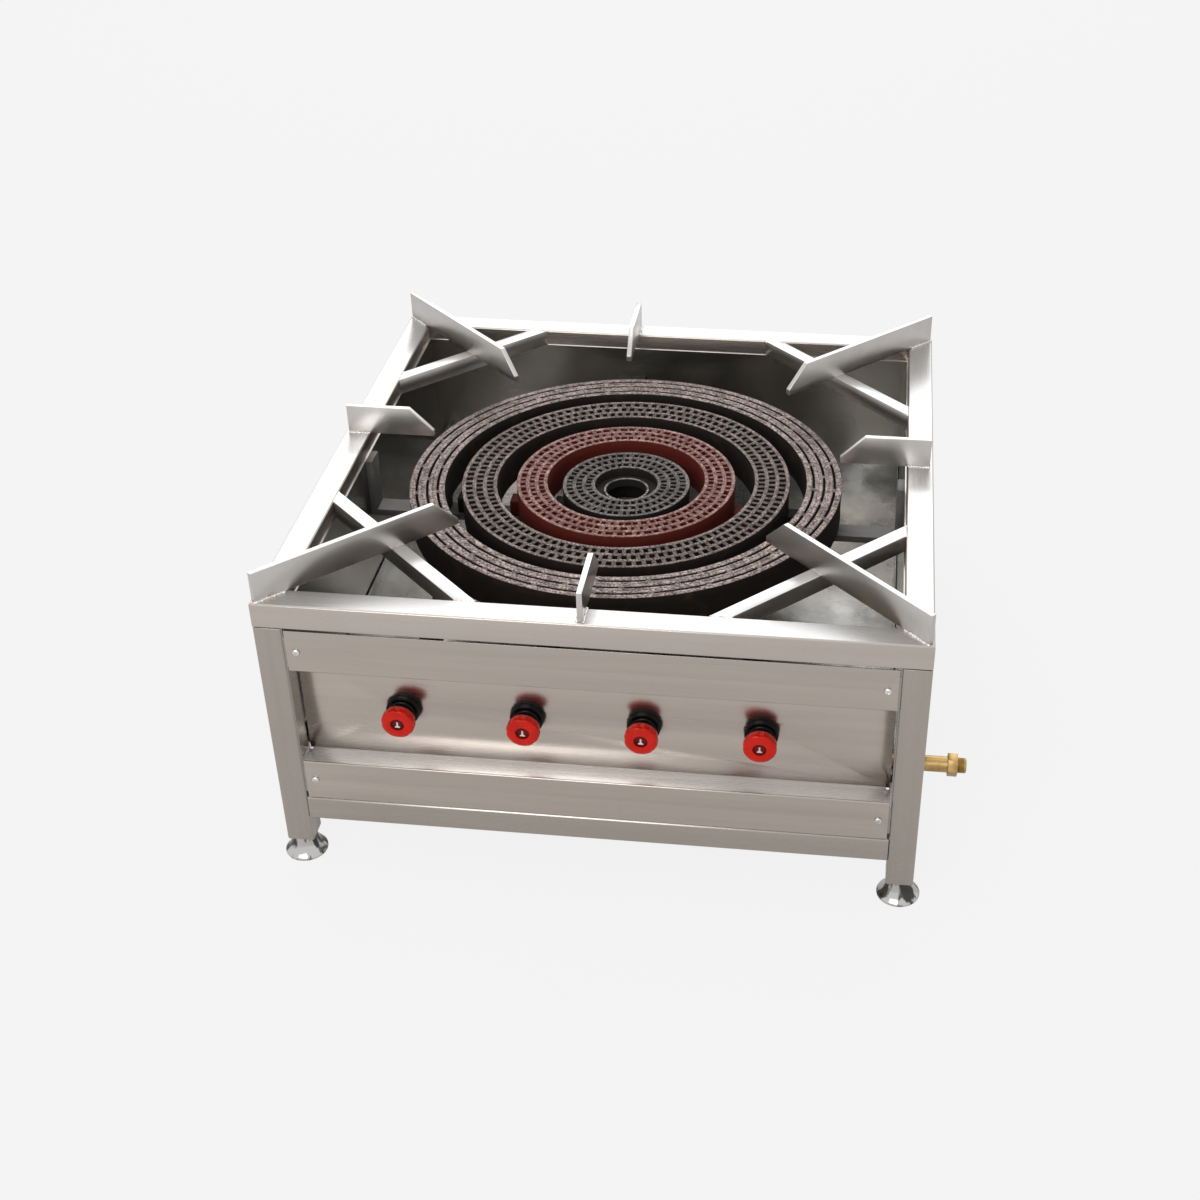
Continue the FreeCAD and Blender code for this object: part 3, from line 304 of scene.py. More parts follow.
class Surface:
    """One material in the making: a Principled shader, its place on the object and its effects."""

    # Normal Z at which a face starts to count as a wall and as a level top.
    slopes = (0.75, 0.97)
    # Keeps a grain's direction from being square to any face.
    off_axis = Vector((0.013, 0.017, 0.011))
    quarter_turn = 0.25

    def __init__(self, name: str, metallic: float, roughness: float) -> None:
        """Start a material.

        Args:
            name: its name.
            metallic: 1 for bare metal, 0 for paint and plastic.
            roughness: its plain roughness.
        """
        self.material = bpy.data.materials.new(name)
        self.material.use_nodes = True
        self.graph = Graph(self.material.node_tree)
        self.shader = self.material.node_tree.nodes["Principled BSDF"]
        self.place = self.graph.add("ShaderNodeTexCoord").outputs["Object"]
        self.set("Metallic", metallic)
        self.set("Roughness", roughness)

    def set(self, name: str, value: object) -> None:
        """Feed one of the shader's inputs a socket or a constant."""
        self.graph.feed(self.shader.inputs[name], value)

    def effect(self, tree: bpy.types.NodeTree, **values: object) -> bpy.types.NodeOutputs:
        """Place an effect's group.

        Args:
            tree: the group.
            values: its inputs, Vector being the place on the object unless given.

        Returns:
            The group's outputs.
        """
        node = self.graph.add("ShaderNodeGroup", node_tree=tree)
        for name, value in {"Vector": self.place, **values}.items():
            self.graph.feed(node.inputs[name], value)
        return node.outputs

    def grime(self, amount: float, scale: float = 9.0) -> Socket:
        """The mask of finger marks and dull patches."""
        return self.effect(EFFECTS.grime, Scale=scale, Amount=amount)["Mask"]

    def skin(self) -> Socket:
        """The height of a cast skin."""
        return self.effect(EFFECTS.cast_skin)["Height"]

    def along(self, grain: Grain) -> Socket:
        """The place on the object with the pattern's X turned along a grain.

        Args:
            grain: the way that the pattern runs.

        Returns:
            The turned vector's socket.
        """
        angles = (0.0, 90.0, 0.0) if grain is Grain.UPRIGHT else (0.0, 0.0, -grain.value)
        inputs = {"Vector": self.place, "Rotation": [math.radians(angle) for angle in angles]}
        return self.graph.put("ShaderNodeMapping", inputs, vector_type="POINT")

    def upward(self) -> Socket:
        """Where the surface looks up: 1 on level tops, 0 on walls."""
        normal = self.graph.add("ShaderNodeNewGeometry").outputs["Normal"]
        return self.graph.ramp(self.graph.height_of(normal), *self.slopes)

    def stretch(self, grain: Grain, amount: float) -> None:
        """Stretch the highlights across the grain, as ground metal does.

        Args:
            grain: the way that the metal was ground.
            amount: how much, from 0 to 1.
        """
        parts = dict(enumerate(grain.direction + self.off_axis))
        self.set("Tangent", self.graph.put("ShaderNodeCombineXYZ", parts))
        self.set("Anisotropic", amount)
        self.set("Anisotropic Rotation", self.quarter_turn)


# ------------------------------------------------------------------ finishes


@dataclass(frozen=True)
class BrushedSteel:
    """Stainless steel ground with a belt, its level tops painted paler than its walls: painted light.
    """

    name: str
    grain: Grain
    base: Colour = (0.55, 0.495, 0.445)
    # Colour of level tops, paler and more neutral than the base of the walls: painted light.
    level: Colour = (0.59, 0.585, 0.58)
    roughness: float = 0.28
    relief: float = 0.06
    scratch_depth: float = 0.15 * MM
    grime: float = 0.2
    stretch: float = 0.6

    def make(self) -> Finish:
        """Build the material.

        Returns:
            The material.
        """
        surface = Surface(self.name, 1.0, self.roughness)
        graph = surface.graph
        brushed = surface.effect(EFFECTS.brushed, Vector=surface.along(self.grain))
        grime = surface.grime(self.grime)
        streaks = graph.ramp(brushed["Streak"], 0.35, 0.7, 0.0, 0.3)
        metal = graph.blend(streaks, self.base, shaded(self.base, 0.80))
        walls = graph.blend(grime, metal, shaded(self.base, 0.86))
        # Level tops take the paler level colour and walls the base: painted light from above.
        tops = graph.blend(streaks, self.level, shaded(self.level, 0.9))
        surface.set("Base Color", graph.blend(surface.upward(), walls, tops))
        surface.stretch(self.grain, self.stretch)
        scratch = graph.math("MULTIPLY", graph.math("SUBTRACT", brushed["Height"], 0.5), 0.14)
        rough = graph.math("ADD", graph.math("MULTIPLY", grime, 0.10), self.roughness)
        surface.set("Roughness", graph.math("ADD", rough, scratch))
        surface.set("Normal", graph.bump(brushed["Height"], self.relief, self.scratch_depth))
        return surface.material


@dataclass(frozen=True)
class CutSteelBar:
    """Thick stainless bar: smooth rolled faces, a faint cut grain, a tint near its welds, and level
    tops painted paler than its walls: painted light.
    """

    name: str
    grain: Grain
    weld_height: float
    base: Colour = (0.62, 0.595, 0.57)
    # Colour of level tops, paler than the base: painted light.
    level: Colour = (0.72, 0.715, 0.71)
    scorch: Colour = (0.36, 0.22, 0.12)
    tint: float = 0.35
    tint_reach: float = 12 * MM
    stretch: float = 0.6
    grain_depth: float = 0.12 * MM

    def make(self) -> Finish:
        """Build the material.

        Returns:
            The material.
        """
        surface = Surface(self.name, 1.0, 0.3)
        graph = surface.graph
        brushed = surface.effect(EFFECTS.brushed, Vector=surface.along(self.grain), Fineness=0.7)
        grime = surface.grime(0.6, 14.0)
        height = graph.height_of(surface.place)
        tint_end = self.weld_height + self.tint_reach
        near_weld = graph.ramp(height, self.weld_height, tint_end, self.tint, 0.0)
        patches = graph.ramp(graph.noise(surface.place, 35.0, 3.0), 0.45, 0.62)
        metal = graph.blend(grime, self.base, shaded(self.base, 0.82))
        walls = graph.blend(graph.math("MULTIPLY", near_weld, patches), metal, self.scorch)
        # Level tops get the paler level colour: painted light from above.
        surface.set("Base Color", graph.blend(surface.upward(), walls, self.level))
        surface.stretch(self.grain, self.stretch)
        rough = graph.math("ADD", graph.math("MULTIPLY", brushed["Height"], 0.1), 0.25)
        surface.set("Roughness", graph.math("ADD", rough, graph.math("MULTIPLY", grime, 0.1)))
        surface.set("Normal", graph.bump(brushed["Height"], 0.06, self.grain_depth))
        return surface.material


@dataclass(frozen=True)
class MottledSheet:
    """Bright thin sheet with soft dents, clouded by water marks."""

    name: str
    base: Colour = (0.50, 0.495, 0.48)
    cloud: Colour = (0.27, 0.27, 0.255)
    dirt: Colour = (0.20, 0.19, 0.175)
    dent_depth: float = 4 * MM

    def make(self) -> Finish:
        """Build the material.

        Returns:
            The material.
        """
        surface = Surface(self.name, 0.85, 0.3)
        graph = surface.graph
        marks = graph.noise(surface.place, 11.0, 4.0, 0.6)
        dents = graph.noise(surface.place, 7.0, 2.0, 0.4)
        metal = graph.blend(graph.ramp(marks, 0.42, 0.66), self.base, self.cloud)
        surface.set("Base Color", graph.blend(surface.grime(0.45, 26.0), metal, self.dirt))
        surface.set("Roughness", graph.ramp(marks, 0.35, 0.7, 0.2, 0.4))
        surface.set("Normal", graph.bump(dents, 0.4, self.dent_depth))
        return surface.material


@dataclass(frozen=True)
class PaintedLightSatin:
    """Near-white satin sheet whose paleness stands in for light falling on it: painted light, clouded
    a little by handling.
    """

    name: str
    # Near-white base: painted light.
    base: Colour = (0.92, 0.925, 0.93)
    cloud: Colour = (0.76, 0.76, 0.76)
    grain_depth: float = 0.12 * MM

    def make(self) -> Finish:
        """Build the material.

        Returns:
            The material.
        """
        surface = Surface(self.name, 0.7, 0.3)
        graph = surface.graph
        grain = surface.effect(EFFECTS.brushed)["Height"]
        surface.set("Base Color", graph.blend(surface.grime(0.5, 12.0), self.base, self.cloud))
        surface.set("Roughness", graph.ramp(grain, 0.2, 0.8, 0.25, 0.29))
        surface.set("Normal", graph.bump(grain, 0.02, self.grain_depth))
        return surface.material


@dataclass(frozen=True)
class CastIron:
    """Cast iron: a top faced bright down to a given depth, and below it near-black walls and port
    pits, the iron's dark skin with painted shade in the pits.
    """

    name: str
    top_level: float
    wall: Colour = (0.026, 0.018, 0.014)
    top: Colour = (0.44, 0.355, 0.315)
    rust: Colour = (0.10, 0.055, 0.035)
    faced_depth: float = 0.9 * MM
    skin_depth: float = 0.4 * MM
    roughness: float = 0.55
    gloss: float = 0.22

    def make(self) -> Finish:
        """Build the material.

        Returns:
            The material.
        """
        surface = Surface(self.name, 0.0, self.roughness)
        graph = surface.graph
        low, high = self.top_level - self.faced_depth, self.top_level - 0.2 * self.faced_depth
        # Below the faced band all faces take the near-black wall colour, which also blackens the deep
        # ports: painted shade.
        faced = graph.ramp(graph.height_of(surface.place), low, high)
        wear = graph.ramp(graph.noise(surface.place, 420.0, 3.0, 0.6), 0.36, 0.62, 0.18, 1.0)
        bright = graph.math("MULTIPLY", faced, wear)
        rusty = graph.ramp(graph.noise(surface.place, 45.0, 4.0, 0.6), 0.5, 0.8, 0.0, 0.3)
        wall = graph.blend(rusty, self.wall, self.rust)
        dusty = graph.ramp(graph.noise(surface.place, 70.0, 3.0, 0.6), 0.4, 0.65)
        top = graph.blend(dusty, self.top, shaded(self.top, 0.55))
        rough_wall, rough_top = self.roughness + 0.1, self.roughness - 0.15
        surface.set("Base Color", graph.blend(bright, wall, top))
        surface.set("Metallic", graph.math("MULTIPLY", bright, 0.75))
        surface.set("Roughness", graph.ramp(bright, 0.0, 1.0, rough_wall, rough_top))
        surface.set("Normal", graph.bump(surface.skin(), 0.45, self.skin_depth))
        surface.set("Specular IOR Level", self.gloss)
        return surface.material


@dataclass(frozen=True)
class GlossyPlastic:
    """Moulded glossy plastic with faint flow marks and scuffs."""

    name: str
    base: Colour
    roughness: float = 0.22
    gloss: float = 0.22
    ripple_depth: float = 0.2 * MM

    def make(self) -> Finish:
        """Build the material.

        Returns:
            The material.
        """
        surface = Surface(self.name, 0.0, self.roughness)
        graph = surface.graph
        flow = graph.ramp(graph.noise(surface.place, 60.0, 2.0, 0.5), 0.4, 0.7, 0.0, 0.6)
        scuffs = graph.math("MULTIPLY", surface.grime(0.5, 130.0), 0.25)
        ripple = graph.noise(surface.place, 700.0, 2.0)
        surface.set("Base Color", graph.blend(flow, self.base, shaded(self.base, 0.72)))
        surface.set("Roughness", graph.math("ADD", scuffs, self.roughness))
        surface.set("Normal", graph.bump(ripple, 0.05, self.ripple_depth))
        surface.set("Specular IOR Level", self.gloss)
        return surface.material


@dataclass(frozen=True)
class TurnedMetal:
    """Brass or zinc from a lathe: fine rings round an axis and a little tarnish."""

    name: str
    axis: Axis
    base: Colour
    tarnish: Colour
    roughness: float = 0.2
    rings: float = 0.12
    ring_depth: float = 0.08 * MM

    def make(self) -> Finish:
        """Build the material.

        Returns:
            The material.
        """
        surface = Surface(self.name, 1.0, self.roughness)
        graph = surface.graph
        scale = tuple(2600.0 if part else 8.0 for part in self.axis.value)
        tool_marks = graph.noise(graph.scaled(surface.place, scale), 1.0, 2.0, 0.6)
        grime = surface.grime(0.7, 70.0)
        marks = graph.math("MULTIPLY", tool_marks, 0.12)
        stain = graph.math("MULTIPLY", grime, 0.2)
        rough = graph.math("ADD", graph.math("ADD", marks, stain), self.roughness - 0.05)
        surface.set("Base Color", graph.blend(grime, self.base, self.tarnish))
        surface.set("Roughness", rough)
        surface.set("Normal", graph.bump(tool_marks, self.rings, self.ring_depth))
        return surface.material


@dataclass(frozen=True)
class PaintedReflectionChrome:
    """Bright plating with dark upright streaks that stand in for dark surroundings mirrored in it:
    painted reflection.
    """

    name: str
    base: Colour = (0.56, 0.55, 0.54)
    # Colour of the dark upright streaks: painted reflection.
    reflected_dark: Colour = (0.07, 0.065, 0.06)
    reflection_streak_scale: tuple[float, float, float] = (75.0, 75.0, 12.0)
    smear_depth: float = 0.3 * MM

    def make(self) -> Finish:
        """Build the material.

        Returns:
            The material.
        """
        surface = Surface(self.name, 1.0, 0.16)
        graph = surface.graph
        streaks = graph.noise(graph.scaled(surface.place, self.reflection_streak_scale), 1.0, 3.0, 0.5)
        # Dark upright streaks in the base colour: painted reflection.
        painted_reflection = graph.ramp(streaks, 0.47, 0.56)
        surface.set("Base Color", graph.blend(painted_reflection, self.base, self.reflected_dark))
        surface.set("Roughness", graph.ramp(streaks, 0.4, 0.7, 0.12, 0.26))
        surface.set("Normal", graph.bump(surface.grime(0.6, 90.0), 0.05, self.smear_depth))
        return surface.material


@dataclass(frozen=True)
class DullPaint:
    """Thin dull paint or scale on plain steel, with scuffs and dust."""

    name: str
    base: Colour
    dust: Colour
    roughness: float = 0.5
    skin_depth: float = 0.3 * MM

    def make(self) -> Finish:
        """Build the material.

        Returns:
            The material.
        """
        surface = Surface(self.name, 0.2, self.roughness)
        graph = surface.graph
        grime = surface.grime(0.7, 40.0)
        rough = graph.ramp(grime, 0.0, 1.0, self.roughness, self.roughness + 0.2)
        surface.set("Base Color", graph.blend(grime, self.base, self.dust))
        surface.set("Roughness", rough)
        surface.set("Normal", graph.bump(surface.skin(), 0.2, self.skin_depth))
        return surface.material


@dataclass(frozen=True)
class WeldMetal:
    """Bright frozen weld metal with a straw and blue tint here and there."""

    name: str
    base: Colour = (0.72, 0.70, 0.67)
    straw: Colour = (0.40, 0.29, 0.19)
    relief_depth: float = 0.4 * MM

    def make(self) -> Finish:
        """Build the material.

        Returns:
            The material.
        """
        surface = Surface(self.name, 1.0, 0.28)
        graph = surface.graph
        tint = graph.ramp(graph.noise(surface.place, 90.0, 3.0), 0.5, 0.72, 0.0, 0.7)
        polish = graph.noise(surface.place, 400.0, 2.0)
        relief = graph.noise(surface.place, 500.0, 3.0)
        surface.set("Base Color", graph.blend(tint, self.base, self.straw))
        surface.set("Roughness", graph.ramp(polish, 0.3, 0.7, 0.2, 0.42))
        surface.set("Normal", graph.bump(relief, 0.5, self.relief_depth))
        return surface.material


# ------------------------------------------------------------------ modelling


class Bench:
    """Modelling operators, each used on one piece at a time."""

    seam_gap = 1e-6
    cad_gap = 2e-6
    flat_angle = math.radians(0.5)

    @staticmethod
    def clear() -> None:
        """Deselect everything."""
        bpy.ops.object.select_all(action="DESELECT")

    @staticmethod
    def take(piece: Piece) -> None:
        """Make a piece the only one selected.

        Args:
            piece: the piece.
        """
        Bench.clear()
        piece.select_set(True)
        bpy.context.view_layer.objects.active = piece

    @staticmethod
    def edit(piece: Piece) -> None:
        """Open a piece in edit mode with nothing selected.

        Args:
            piece: the piece.
        """
        Bench.take(piece)
        bpy.ops.object.mode_set(mode="EDIT")
        bpy.ops.mesh.select_all(action="DESELECT")

    @staticmethod
    def done() -> None:
        """Leave edit mode."""
        bpy.ops.object.mode_set(mode="OBJECT")

    @staticmethod
    def pick_faces(piece: Piece, test: Test) -> None:
        """Select the faces that pass a test, in edit mode.

        Args:
            piece: the piece that is open.
            test: takes a face's centre and normal.
        """
        bpy.ops.mesh.select_mode(type="FACE")
        mesh = bmesh.from_edit_mesh(piece.data)
        for face in mesh.faces:
            face.select_set(test(face.calc_center_median(), face.normal))
        mesh.select_flush_mode()
        bmesh.update_edit_mesh(piece.data)

    @staticmethod
    def face_outwards() -> None:
        """Point all faces of the open piece outwards."""
        bpy.ops.mesh.select_all(action="SELECT")
        bpy.ops.mesh.normals_make_consistent(inside=False)

    @staticmethod
    def lathe(name: str, profile: Profile, vertices: int, closed: bool = False) -> Piece:
        """Turn a profile about Z from a circle that is extruded, resized and raised step by step.

        Args:
            name: the piece's name.
            profile: radius and height of each step.
            vertices: how many sides the circle has.
            closed: True for a ring whose last step returns to its first, False to cap both ends.

        Returns:
            The piece, its axis on Z.
        """
        Bench.clear()
        radius, height = profile[0]
        bpy.ops.mesh.primitive_circle_add(
            vertices=vertices, radius=radius, location=(0, 0, height),
            fill_type="NOTHING" if closed else "NGON",
        )
        piece = bpy.context.object
        piece.name = name
        bpy.ops.object.transform_apply(location=True, rotation=True, scale=True)
        bpy.ops.object.mode_set(mode="EDIT")
        bpy.ops.mesh.select_mode(type="EDGE")
        bpy.ops.mesh.select_all(action="SELECT")
        for next_radius, next_height in list(profile[1:]) + ([profile[0]] if closed else []):
            rise = (0, 0, next_height - height)
            bpy.ops.mesh.extrude_edges_move(TRANSFORM_OT_translate={"value": rise})
            scale = next_radius / radius
            bpy.ops.transform.resize(value=(scale, scale, 1), center_override=(0, 0, next_height))
            radius, height = next_radius, next_height
        if not closed:
            bpy.ops.mesh.edge_face_add()
        bpy.ops.mesh.select_all(action="SELECT")
        bpy.ops.mesh.remove_doubles(threshold=Bench.seam_gap)
        Bench.face_outwards()
        Bench.done()
        return piece

    @staticmethod
    def block(name: str, low: Vector, high: Vector) -> Piece:
        """A box between two corners, to be shaped further.

        Args:
            name: the piece's name.
            low: its lowest corner.
            high: its highest corner.

        Returns:
            The piece.
        """
        Bench.clear()
        bpy.ops.mesh.primitive_cube_add(size=1.0, location=(low + high) / 2, scale=high - low)
        piece = bpy.context.object
        piece.name = name
        bpy.ops.object.transform_apply(location=True, rotation=True, scale=True)
        return piece

    @staticmethod
    def place(piece: Piece, at: Vector = ORIGIN, turn: Euler = Euler((0, 0, 0))) -> None:
        """Turn and move a piece, and put both into its mesh.

        Args:
            piece: the piece.
            at: where its origin goes.
            turn: how it is turned first.
        """
        Bench.take(piece)
        piece.rotation_euler = turn
        piece.location = at
        bpy.ops.object.transform_apply(location=True, rotation=True, scale=True)

    @staticmethod
    def join(pieces: Sequence[Piece], name: str) -> Piece:
        """Make several pieces one object.

        Args:
            pieces: the pieces, the first of which stays.
            name: the name of the result.

        Returns:
            The joined piece.
        """
        Bench.clear()
        for piece in pieces:
            piece.select_set(True)
        bpy.context.view_layer.objects.active = pieces[0]
        bpy.ops.object.join()
        pieces[0].name = name
        return pieces[0]

    @staticmethod
    def copy(piece: Piece, name: str, shift: Vector = ORIGIN) -> Piece:
        """A copy of a piece with its own mesh.

        Args:
            piece: the piece to copy.
            name: the copy's name.
            shift: how far the copy is moved.

        Returns:
            The copy.
        """
        twin = piece.copy()
        twin.data = piece.data.copy()
        twin.name = name
        bpy.context.scene.collection.objects.link(twin)
        Bench.place(twin, shift)
        return twin

    @staticmethod
    def bevel(piece: Piece, width: float, segments: int = 2, angle: float = 30.0) -> None:
        """Round a piece's sharp edges.

        Args:
            piece: the piece.
            width: the bevel's width.
            segments: its segments.
            angle: edges sharper than this many degrees are rounded.
        """
        Bench.take(piece)
        modifier = piece.modifiers.new("rounded", "BEVEL")
        modifier.width = width
        modifier.segments = segments
        modifier.limit_method = "ANGLE"
        modifier.angle_limit = math.radians(angle)
        bpy.ops.object.modifier_apply(modifier=modifier.name)

    @staticmethod
    def cut(piece: Piece, cutter: Piece) -> None:
        """Take one piece out of another, and delete the cutter.

        Args:
            piece: the piece that is cut.
            cutter: what is taken out.
        """
        Bench.take(piece)
        modifier = piece.modifiers.new("cut", "BOOLEAN")
        modifier.operation = "DIFFERENCE"
        modifier.solver = "EXACT"
        modifier.object = cutter
        bpy.ops.object.modifier_apply(modifier=modifier.name)
        bpy.data.objects.remove(cutter)

    @staticmethod
    def smooth(piece: Piece, angle: float = 35.0) -> None:
        """Shade a piece smooth except over edges sharper than an angle in degrees."""
        Bench.take(piece)
        bpy.ops.object.shade_smooth_by_angle(angle=math.radians(angle))

    @staticmethod
    def softened(node: str, width: float, segments: int = 2) -> Piece:
        """A copy of a CAD node with its edges rounded.

        Args:
            node: the CAD node.
            width: how wide its edges are rounded.
            segments: segments of that rounding.

        Returns:
            The copy, in place.
        """
        piece = frame["nodes"][node].copy()
        piece.data = piece.data.copy()
        piece.name = node + "_dressed"
        piece.parent = None
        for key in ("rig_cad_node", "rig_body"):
            if key in piece:
                del piece[key]
        bpy.context.scene.collection.objects.link(piece)
        Bench.edit(piece)
        bpy.ops.mesh.select_all(action="SELECT")
        bpy.ops.mesh.remove_doubles(threshold=Bench.cad_gap)
        bpy.ops.mesh.dissolve_limited(angle_limit=Bench.flat_angle)
        Bench.done()
        Bench.bevel(piece, width, segments)
        Bench.smooth(piece)
        return piece


def dress(piece: Piece, finish: Finish, body: str, slot: str, *nodes: str) -> None:
    """Give a finished piece its material and body, and hide the CAD nodes that it stands for.

    Args:
        piece: the piece.
        finish: its material.
        body: the body that it rides on.
        slot: the record's material slot; not used.
        nodes: the CAD nodes that it replaces.
    """
    piece.data.materials.clear()
    piece.data.materials.append(finish)
    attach(piece, body)
    if nodes:
        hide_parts(*nodes)
    LOG.info("%s: %d faces on %s", piece.name, len(piece.data.polygons), body)


def dress_node(node: str, finish: Finish) -> None:
    """Give a CAD node that stays in view its material.

    Args:
        node: the node's name.
        finish: its material.
    """
    mesh = frame["nodes"][node].data
    mesh.materials.clear()
    mesh.materials.append(finish)
    LOG.info("%s: CAD node, %s", node, finish.name)


# ------------------------------------------------------------------ the object


@dataclass
class WeldBeads:
    """Rows of overlapping weld ripples, made from one squashed ball that is copied along a line."""

    radius: float = 1.7 * MM
    step: float = 1.5 * MM
    tail: tuple[float, float, float] = (1.5, 1.0, 0.85)
    sunk: float = 0.55
    growth: tuple[float, float] = (0.8, 1.15)
    wander_mm: float = 0.3
    tilt: float = 0.2
    swing: float = 0.3
    seed: int = 11
    rows: list[Piece] = field(default_factory=list)

    def __post_init__(self) -> None:
        """Build the finish and the ripple, and seed the unevenness."""
        self.finish = WeldMetal("weld metal").make()
        self.chance = random.Random(self.seed)
        self.ripple = self._ripple()

    def _ripple(self) -> Piece:
        """One frozen ripple: a ball, steep at the front, drawn out behind and flat below.

        Returns:
            The ripple, its row along X.
        """
        Bench.clear()
        bpy.ops.mesh.primitive_uv_sphere_add(segments=10, ring_count=6, radius=self.radius)
        ripple = bpy.context.object
        ripple.name = "ripple"
        Bench.edit(ripple)
        Bench.pick_faces(ripple, lambda centre, normal: centre.x < 0)
        bpy.ops.transform.resize(value=self.tail, center_override=(0, 0, 0))
        bpy.ops.mesh.select_all(action="SELECT")
        bpy.ops.mesh.bisect(
            plane_co=(0, 0, -self.sunk * self.radius), plane_no=(0, 0, 1), clear_inner=True,
            use_fill=True,
        )
        Bench.face_outwards()
        Bench.done()
        return ripple

    def _spread(self, reach: float) -> float:
        """A random number up to a reach either way."""
        return self.chance.uniform(-reach, reach)

    def row(self, start: Vector, end: Vector) -> None:
        """Lay one row.

        Args:
            start: where it begins.
            end: where it ends.
        """
        total = int((end - start).length / self.step)
        along = (end - start).normalized()
        heading = math.atan2(along.y, along.x)
        ripples = []
        for index in range(total + 1):
            ripple = self.ripple.copy()
            ripple.data = self.ripple.data.copy()
            bpy.context.scene.collection.objects.link(ripple)
            grown = self.chance.uniform(*self.growth)
            wander = Vector([self._spread(self.wander_mm) * MM for _ in range(3)])
            at = start.lerp(end, index / total) + wander
            turn = Euler((0, self._spread(self.tilt), heading + self._spread(self.swing)))
            ripple.data.transform(Matrix.LocRotScale(at, turn, Vector((grown, grown, grown))))
            ripples.append(ripple)
        row = Bench.join(ripples, "weld_row")
        Bench.smooth(row, 60.0)
        self.rows.append(row)

    def finish_rows(self, name: str) -> None:
        """Join all rows laid so far into one piece of that name."""
        bpy.data.objects.remove(self.ripple)
        dress(Bench.join(self.rows, name), self.finish, STATIC_BODY, "steel_bar")


@dataclass
class WeldedFrame:
    """Top rails, legs, bottom rails and corner braces; the legs and bottom rails take a darker copy
    of the tube steel: painted shade.
    """

    edge: float = 0.35 * MM
    brace_edge: float = 0.5 * MM
    # Darker base for the legs and bottom rails, the same tube stock as the top rails: painted shade.
    dark: Colour = (0.43, 0.385, 0.345)
    seam: float = 0.6 * MM
    weld_sink: float = 1.2 * MM
    weld_start: float = 2 * MM
    weld_end: float = 22.5 * MM

    def build(self, welds: WeldBeads) -> None:
        """Dress the frame.

        Args:
            welds: lays the weld at the ends of the braces.
        """
        along_x = BrushedSteel("ground steel, along X", Grain.ALONG_X).make()
        along_y = BrushedSteel("ground steel, along Y", Grain.ALONG_Y).make()
        # The legs and bottom rails take the darker base, a shaded copy of the tube steel: painted
        # shade.
        upright = BrushedSteel("ground steel, upright, painted shade", Grain.UPRIGHT, self.dark).make()
        shaded_low_x = BrushedSteel("ground steel, low, painted shade, along X", Grain.ALONG_X, self.dark).make()
        shaded_low_y = BrushedSteel("ground steel, low, painted shade, along Y", Grain.ALONG_Y, self.dark).make()
        for side in SIDES:
            top, low = (along_x, shaded_low_x) if side in ("front", "rear") else (along_y, shaded_low_y)
            self._tube("top_rail_" + side, top)
            self._tube("bottom_rail_" + side, low)
        for corner in CORNERS:
            self._tube("leg_" + corner, upright)
        self._braces(welds)

    def _tube(self, node: str, finish: Finish) -> None:
        """Round the edges of a tube and dress it."""
        dress(Bench.softened(node, self.edge), finish, STATIC_BODY, "steel_tube", node)

    def _braces(self, welds: WeldBeads) -> None:
        """Dress the braces and weld their ends.

        Args:
            welds: lays the rows.
        """
        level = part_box("top_rail_front")[1].z
        rising = CutSteelBar("bar, rising", Grain.RISING, level, tint=0.0).make()
        falling = CutSteelBar("bar, falling", Grain.FALLING, level, tint=0.0).make()
        for corner in CORNERS:
            node = "corner_brace_" + corner
            finish = falling if corner in ("front_left", "rear_right") else rising
            dress(Bench.softened(node, self.brace_edge), finish, STATIC_BODY, "steel_bar", node)
            low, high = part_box(node)
            near_x, far_x, in_x = (low.x, high.x, 1) if "left" in corner else (high.x, low.x, -1)
            near_y, far_y, in_y = (low.y, high.y, 1) if "front" in corner else (high.y, low.y, -1)
            seam_x = near_x + in_x * self.seam
            seam_y = near_y + in_y * self.seam
            depth = high.z - self.weld_sink
            reaches = (self.weld_start, self.weld_end)
            welds.row(*(Vector((seam_x, far_y - in_y * reach, depth)) for reach in reaches))
            welds.row(*(Vector((far_x - in_x * reach, seam_y, depth)) for reach in reaches))


